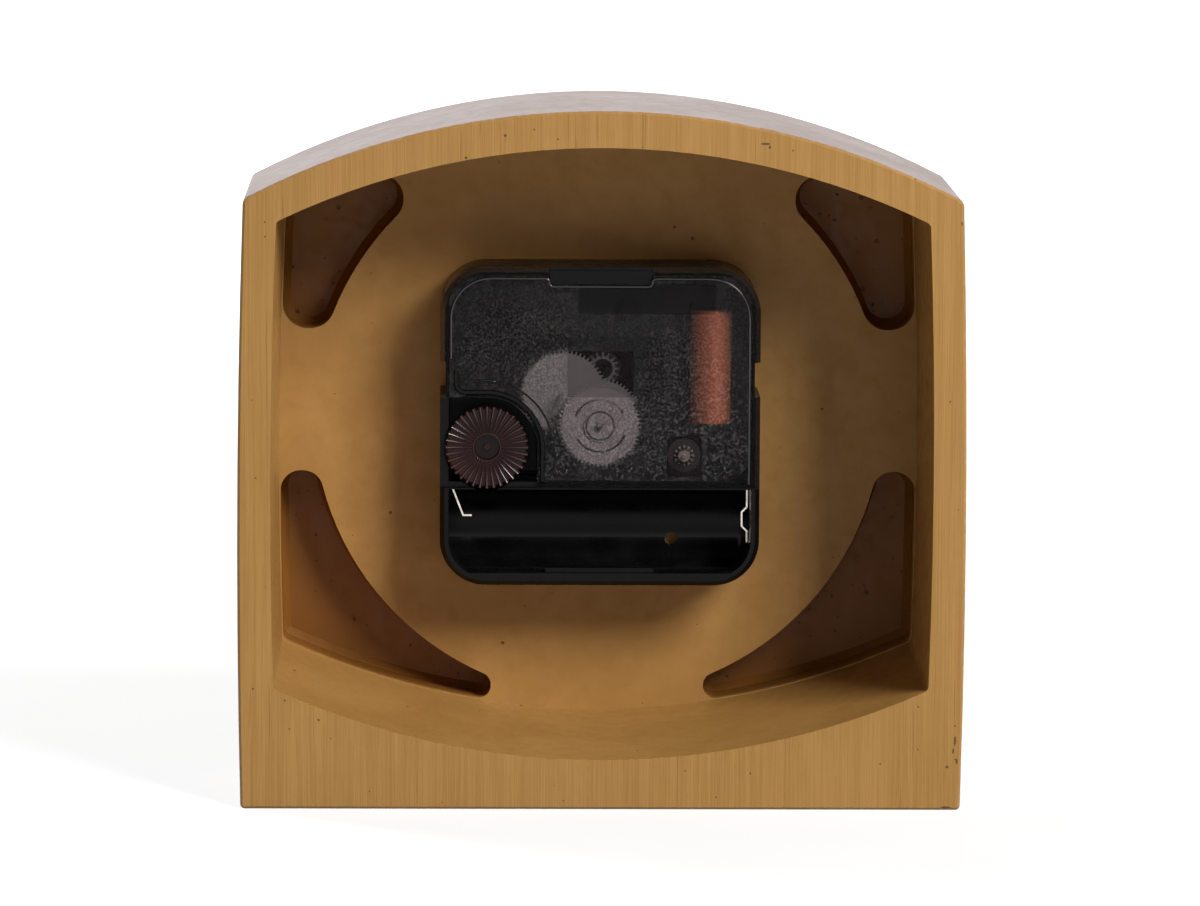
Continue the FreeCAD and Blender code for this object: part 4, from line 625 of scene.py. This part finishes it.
WORN_BY = {
    "case_body": "painted_resin", "movement_housing": "black_moulding",
    "movement_cover": "smoky_cover", "middle_plate": "plate_plastic",
    "bezel_ring": "bezel_brass", "threaded_bush": "turned_brass", "fixing_nut": "turned_brass",
    "fixing_washer": "turned_brass", "rubber_washer": "washer_rubber",
    "circuit_board": "circuit_laminate", "quartz_crystal": "crystal_can",
    "timing_chip": "chip_resin", "coil_bobbin": "bobbin_plastic",
    "coil_winding": "copper_winding", "coil_core": "soft_iron", "stator_plate": "soft_iron",
    "negative_contact": "nickel_strip", "positive_contact": "nickel_strip",
    "rotor_magnet": "magnet_ferrite", "rotor_pinion": "rotor_acetal",
    "intermediate_wheel": "black_acetal", "seconds_wheel": "seconds_acetal",
    "third_wheel": "pale_acetal", "centre_wheel": "pale_acetal", "hour_wheel": "pale_acetal",
    "minute_work_wheel": "glint_painted_acetal", "setting_idler": "pale_acetal",
    "minute_cannon": "turned_brass", "seconds_arbor": "bright_steel",
    "setting_arbor": "bright_steel", "setting_knob": "knob_plastic",
    "dial_plate": "dial_enamel", "dial_lens": "lens_glass",
    "hour_hand": "hand_paint", "minute_hand": "hand_paint", "second_hand": "hand_paint",
}

for node_name, finish in WORN_BY.items():
    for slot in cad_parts[node_name].material_slots:
        slot.material = FINISHES[finish]

# ---------------------------------------------------------------- modelling by hand


def clear_selection():
    """Object mode with nothing selected."""
    if bpy.context.object and bpy.context.object.mode != "OBJECT":
        bpy.ops.object.mode_set(mode="OBJECT")
    bpy.ops.object.select_all(action="DESELECT")


def begun(name):
    """The primitive just added, named and with its place in its mesh."""
    piece = bpy.context.object
    piece.name = name
    bpy.ops.object.transform_apply(location=True, rotation=True, scale=True)
    return piece


def pick(piece, kind, test):
    """Edit mode with only the vertices or faces that pass the test selected."""
    bpy.ops.object.mode_set(mode="OBJECT")
    bpy.context.tool_settings.mesh_select_mode = (kind == "VERT", False, kind == "FACE")
    mesh = piece.data
    for items in (mesh.vertices, mesh.edges, mesh.polygons):
        items.foreach_set("select", [False] * len(items))
    for item in mesh.vertices if kind == "VERT" else mesh.polygons:
        item.select = test(item)
    bpy.ops.object.mode_set(mode="EDIT")


def everything(piece):
    """Edit mode with the whole piece selected."""
    pick(piece, "VERT", lambda vertex: True)


def box(name, at, size):
    """A new box about a place, both in mm."""
    clear_selection()
    bpy.ops.mesh.primitive_cube_add(size=1.0, location=mm(*at), scale=mm(*size))
    return begun(name)


def shift(*by):
    """What is selected moves by millimetres."""
    bpy.ops.transform.translate(value=mm(*by))


def squash(share, about):
    """What is selected shrinks along each axis to a share, about a place in mm."""
    bpy.ops.transform.resize(value=share, center_override=mm(*about))


def pull(*by):
    """What is selected is drawn out by millimetres."""
    bpy.ops.mesh.extrude_region_move(TRANSFORM_OT_translate={"value": mm(*by)})


def swing(x, z, degrees, steps, copies=False):
    """What is selected turns about an arbor's line, clockwise from behind."""
    bpy.ops.mesh.spin(steps=steps, dupli=copies, angle=math.radians(degrees),
                      center=mm(x, 0, z), axis=SHAFT_LINE)


def terrace(*levels):
    """The selected face narrows and moves back by each pair, in mm."""
    for inward, back in levels:
        bpy.ops.mesh.inset(thickness=inward * MM)
        if back:
            shift(0, back, 0)


def finished(piece, body, finish, angle=35.0):
    """Outward faces, smooth shading, its finish, and the body that it rides on."""
    everything(piece)
    bpy.ops.mesh.remove_doubles(threshold=0.000001)
    bpy.ops.mesh.normals_make_consistent(inside=False)
    bpy.ops.object.mode_set(mode="OBJECT")
    bpy.ops.object.transform_apply(location=True, rotation=True, scale=True)
    bpy.ops.object.shade_smooth_by_angle(angle=math.radians(angle))
    piece.data.materials.clear()
    piece.data.materials.append(FINISHES[finish])
    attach(piece, body)
    return piece


def joined(name, pieces):
    """Several pieces made one."""
    clear_selection()
    for piece in pieces:
        piece.select_set(True)
    bpy.context.view_layer.objects.active = pieces[0]
    bpy.ops.object.join()
    pieces[0].name = name
    return pieces[0]


def ribbed_knob():
    """The setting knob: a turned disc with a sunk hub, and 36 radial ribs on its face."""
    x, z = KNOB_AT
    ribs, radius, low, high = 36, 7.0, 1.35, 5.45
    face, middle = high - 1.0, z + 3.0
    clear_selection()
    bpy.ops.mesh.primitive_cylinder_add(
        vertices=4 * ribs, radius=radius * MM, depth=(face - low) * MM,
        location=mm(x, (face + low) / 2, z), rotation=ON_SHAFT)
    disc = begun("knob_disc")
    pick(disc, "FACE", lambda f: f.normal.y > 0.9)
    terrace((0.25, 0.3), (4.15, -0.15), (0.12, 0.35), (0.18, 0), (0.1, -0.9), (1.5, 0.1))
    pull(0, 0.35, 0)
    terrace((0.12, 0.12), (0.14, 0.03))
    rib = box("knob_rib", (x, high - 0.75, z + 4.85), (1.12, 1.5, 4.7))
    pick(rib, "VERT", lambda v: v.co.y > (high - 0.2) * MM)
    squash((0.22, 1, 1), (x, high, z))
    pick(rib, "VERT", lambda v: v.co.z < middle * MM)
    squash((0.36, 1, 1), (x, high, z))
    pick(rib, "VERT", lambda v: v.co.z < middle * MM and v.co.y > face * MM)
    shift(0, -0.5, 0)
    pick(rib, "FACE", lambda f: f.normal.y > 0.8)
    bpy.ops.mesh.bevel(offset=0.1 * MM, segments=2, affect="EDGES")
    everything(rib)
    swing(x, z, 360, ribs, copies=True)
    bpy.ops.object.mode_set(mode="OBJECT")
    knob = finished(joined("ribbed_knob", [disc, rib]), "knob", "knob_plastic",
                    30.0)
    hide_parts("setting_knob")


def turning_arrow():
    """The raised curved arrow on the cover that shows which way the knob turns."""
    x, z = KNOB_AT
    back, radius = COVER_BACK, 11.5
    shaft = box("arrow_shaft", (x, back + 0.07, z + radius), (0.02, 0.2, 0.32))
    pick(shaft, "FACE", lambda f: f.normal.x < -0.9)
    swing(x, z, 84, 28)
    clear_selection()
    tip_x, tip_z = x - radius, z - 0.4
    bpy.ops.mesh.primitive_cylinder_add(vertices=3, radius=1.0 * MM, depth=0.3 * MM,
                                        rotation=ON_SHAFT, location=mm(tip_x, back + 0.1, tip_z))
    head = begun("arrow_head")
    everything(head)
    squash((0.55, 1, -1.0), (tip_x, back, tip_z))
    pick(head, "FACE", lambda f: f.normal.y > 0.9)
    terrace((0.08, 0))
    clear_selection()
    bulb = (x + 0.4, back, z + radius + 0.05)
    bpy.ops.mesh.primitive_uv_sphere_add(segments=20, ring_count=10, radius=1.0 * MM,
                                         location=mm(*bulb))
    tail = begun("arrow_tail")
    everything(tail)
    squash((2.0, 0.2, 0.4), bulb)
    pick(tail, "VERT", lambda v: v.co.x > (x + 1.2) * MM)
    squash((1, 1, 0.5), (x, back, z + radius + 0.25))
    arrow = joined("turning_arrow", [shaft, head, tail])
    finished(arrow, "case", "smoky_relief", 40.0)


def well_lip():
    """The raised lip on the cover along the edge of the knob's well."""
    x, z = KNOB_AT
    back, radius, along, bend = COVER_BACK, 9.7, 3.8, 1.6
    lip = box("well_lip", (x, back + 0.12, z + radius), (0.02, 0.34, 0.95))
    pick(lip, "VERT", lambda v: v.co.y > (back + 0.2) * MM)
    squash((1, 1, 0.5), (x, back, z + radius))
    pick(lip, "FACE", lambda f: f.normal.x < -0.9)
    swing(x, z, 90, 24)
    pull(0, 0, -6.0)
    pick(lip, "FACE", lambda f: f.normal.x > 0.9 and f.center.z > (z + 5.0) * MM)
    pull(along, 0, 0)
    swing(x + along, z + radius + bend, 90, 10)
    pull(0, 0, 2.2)
    finished(lip, "case", "smoky_relief", 25.0)


def rotor_leaves():
    """The twelve raised leaves on the rear face of the rotor's disc."""
    x, z = ROTOR_AT
    face, leaf_count = 1.8, 12
    leaves = box("rotor_leaves", (x, face + 0.2, z + 1.3), (0.46, 0.5, 0.95))
    pick(leaves, "VERT", lambda v: v.co.z < (z + 1.0) * MM)
    squash((0.5, 1, 1), (x, face, z))
    pick(leaves, "FACE", lambda f: f.normal.y > 0.8)
    bpy.ops.mesh.bevel(offset=0.06 * MM, segments=2, affect="EDGES")
    everything(leaves)
    swing(x, z, 360, leaf_count, copies=True)
    finished(leaves, "rotor", "leaf_acetal", 30.0)


def cover_edge():
    """The rounded polished edge of the cover, round its corners and down into its top notch."""
    side, corner, notch, small = 26.1, 7.0, 9.0, 0.7
    run = side - corner
    clear_selection()
    bpy.ops.mesh.primitive_circle_add(vertices=10, radius=0.26 * MM, fill_type="NGON",
                                      location=mm(side, COVER_BACK, SHAFT_Z + 12.0))
    edge = begun("cover_edge")
    everything(edge)
    # a straight run across and up, or a turn in degrees about a place, from the shaft
    path = ((0, run - 12.0), (90, run, run), (notch + small - run, 0),
            (90, notch + small, side - small), (-90, notch - small, side - small),
            (2 * (small - notch), 0), (-90, small - notch, side - small),
            (90, -notch - small, side - small), (notch + small - run, 0), (90, -run, run),
            (0, -run - 10.0))
    for move in path:
        if len(move) == 2:
            pull(move[0], 0, move[1])
        else:
            degrees, across, up = move
            swing(across, SHAFT_Z + up, degrees, 14)
    finished(edge, "case", "polished_edge", 50.0)


def dial_numbers():
    """Plain hour numbers, upright, printed on the dial."""
    radius, text_size = 34.6, 6.6 * 1.35
    numbers = []
    for hour in range(1, 13):
        turn = WHOLE_TURN * hour / 12
        clear_selection()
        bpy.ops.object.text_add(rotation=ON_SHAFT, location=mm(
            radius * math.sin(turn), DIAL_FRONT + 0.01, SHAFT_Z + radius * math.cos(turn)))
        text = bpy.context.object.data
        text.body, text.size = str(hour), text_size * MM
        text.align_x, text.align_y = "CENTER", "CENTER"
        text.extrude, text.offset, text.resolution_u = 0.03 * MM, 0.11 * MM, 6
        bpy.ops.object.convert(target="MESH")
        numbers.append(begun("number"))
    finished(joined("dial_numbers", numbers), "case", "printed_black", 30.0)


def minute_track():
    """Sixty minute strokes, every fifth longer and wider."""
    outer = 41.6
    strokes = []
    for name, count, length, width in (("minute_stroke", 60, 1.5, 0.28),
                                       ("hour_stroke", 12, 2.4, 0.75)):
        stroke = box(name, (0, DIAL_FRONT - 0.005, SHAFT_Z + outer - length / 2),
                     (width, 0.05, length))
        pick(stroke, "FACE", lambda f: f.normal.y < -0.9)
        terrace((0.02, 0))
        everything(stroke)
        swing(0, SHAFT_Z, 360, count, copies=True)
        bpy.ops.object.mode_set(mode="OBJECT")
        strokes.append(stroke)
    finished(joined("minute_track", strokes), "case", "printed_black", 30.0)


# ---------------------------------------------------------------- floor, light and camera


def looking_ray(tree):
    """1 for what the camera sees, directly, in a gloss or through something, or else 0."""
    light = add(tree, "ShaderNodeLightPath")
    seen = sums(tree, "MAXIMUM", light.outputs["Is Camera Ray"], light.outputs["Is Glossy Ray"])
    return sums(tree, "MAXIMUM", seen, light.outputs["Is Transmission Ray"])


def pale_floor():
    """A wide pale floor that keeps the soft shadow."""
    clear_selection()
    bpy.ops.mesh.primitive_grid_add(x_subdivisions=4, y_subdivisions=4, size=16.0,
                                    location=(0.0, 0.0, 0.0))
    floor = bpy.context.object
    floor.name = "pale_floor"
    material, tree, shader, coords = finish_named("floor_paint", Roughness=0.9)
    paper = noise(tree, coords.outputs["Object"], 30.0, 3.0, 0.5)
    paint = blend(tree, step(tree, paper, 0.3, 0.7), (0.42, 0.42, 0.42, 1), (0.44, 0.44, 0.44, 1))
    tree.links.new(paint, shader.inputs["Base Color"])
    seen = looking_ray(tree)
    level = step(tree, length_of(tree, coords.outputs["Object"]), 0.2, 0.9, 0.62, 1.0)
    glow = add(tree, "ShaderNodeEmission", {"Color": (1, 1, 1, 1),
                                            "Strength": sums(tree, "MULTIPLY", seen, level)})
    both = add(tree, "ShaderNodeAddShader", {0: shader.outputs[0], 1: glow.outputs[0]})
    tree.links.new(both.outputs[0], tree.nodes["Material Output"].inputs["Surface"])
    floor.data.materials.append(material)


def softbox(name, place, target, size, power):
    """A square soft light that looks at the target."""
    lamp = bpy.data.lights.new(name, "AREA")
    lamp.shape, lamp.size, lamp.energy = "SQUARE", size, power
    holder = bpy.data.objects.new(name, lamp)
    holder.location = place
    holder.rotation_euler = (Vector(target) - Vector(place)).to_track_quat("-Z", "Y").to_euler()
    bpy.context.scene.collection.objects.link(holder)


def white_room(fill):
    """A world that is white to the camera and in glosses, and only a weak fill light else."""
    world = bpy.data.worlds.new("white_room")
    world.use_nodes = True
    bpy.context.scene.world = world
    tree = world.node_tree
    back = tree.nodes["Background"]
    back.inputs["Color"].default_value = (1, 1, 1, 1)
    strength = step(tree, looking_ray(tree), 0.0, 1.0, fill, 1.0)
    tree.links.new(strength, back.inputs["Strength"])


SENSOR_WIDTH = 36.0


def photo_camera(azimuth, elevation, roll, distance, target, focal_share):
    """The photograph's camera: degrees from the rear, millimetres from the target.

    The focal share is the focal length over the width of the picture.
    """
    turn, rise, lean = (math.radians(v) for v in (azimuth, elevation, roll))
    out = Vector((math.sin(turn) * math.cos(rise), math.cos(turn) * math.cos(rise), math.sin(rise)))
    right = (-out).cross(Vector((0.0, 0.0, 1.0))).normalized()
    top = right.cross(-out)
    level = math.cos(lean) * right + math.sin(lean) * top
    head = -math.sin(lean) * right + math.cos(lean) * top
    data = bpy.data.cameras.new("photo_camera")
    data.sensor_width, data.sensor_fit = SENSOR_WIDTH, "HORIZONTAL"
    data.lens = focal_share * SENSOR_WIDTH
    data.clip_start, data.clip_end = 0.05, 60.0
    camera = bpy.data.objects.new("photo_camera", data)
    place = Matrix((level, head, out)).transposed().to_4x4()
    place.translation = mm(*target) + out * distance * MM
    camera.matrix_world = place
    bpy.context.scene.collection.objects.link(camera)
    bpy.context.scene.camera = camera


ribbed_knob()
turning_arrow()
well_lip()
cover_edge()
rotor_leaves()
dial_numbers()
minute_track()
pale_floor()
softbox("key_softbox", (-0.84, 1.03, 0.97), (0.0, 0.02, 0.07), size=0.6, power=30.0)
softbox("front_softbox", (1.25, -1.25, 1.05), (0.0, -0.02, 0.07), size=0.9, power=38.0)
white_room(fill=0.06)
photo_camera(azimuth=1.2, elevation=7.29, roll=0.335, distance=1153.7,
             target=(0.427, 25.0, 62.237), focal_share=6709.55 / 1200)
bpy.context.scene.view_settings.view_transform = "Standard"
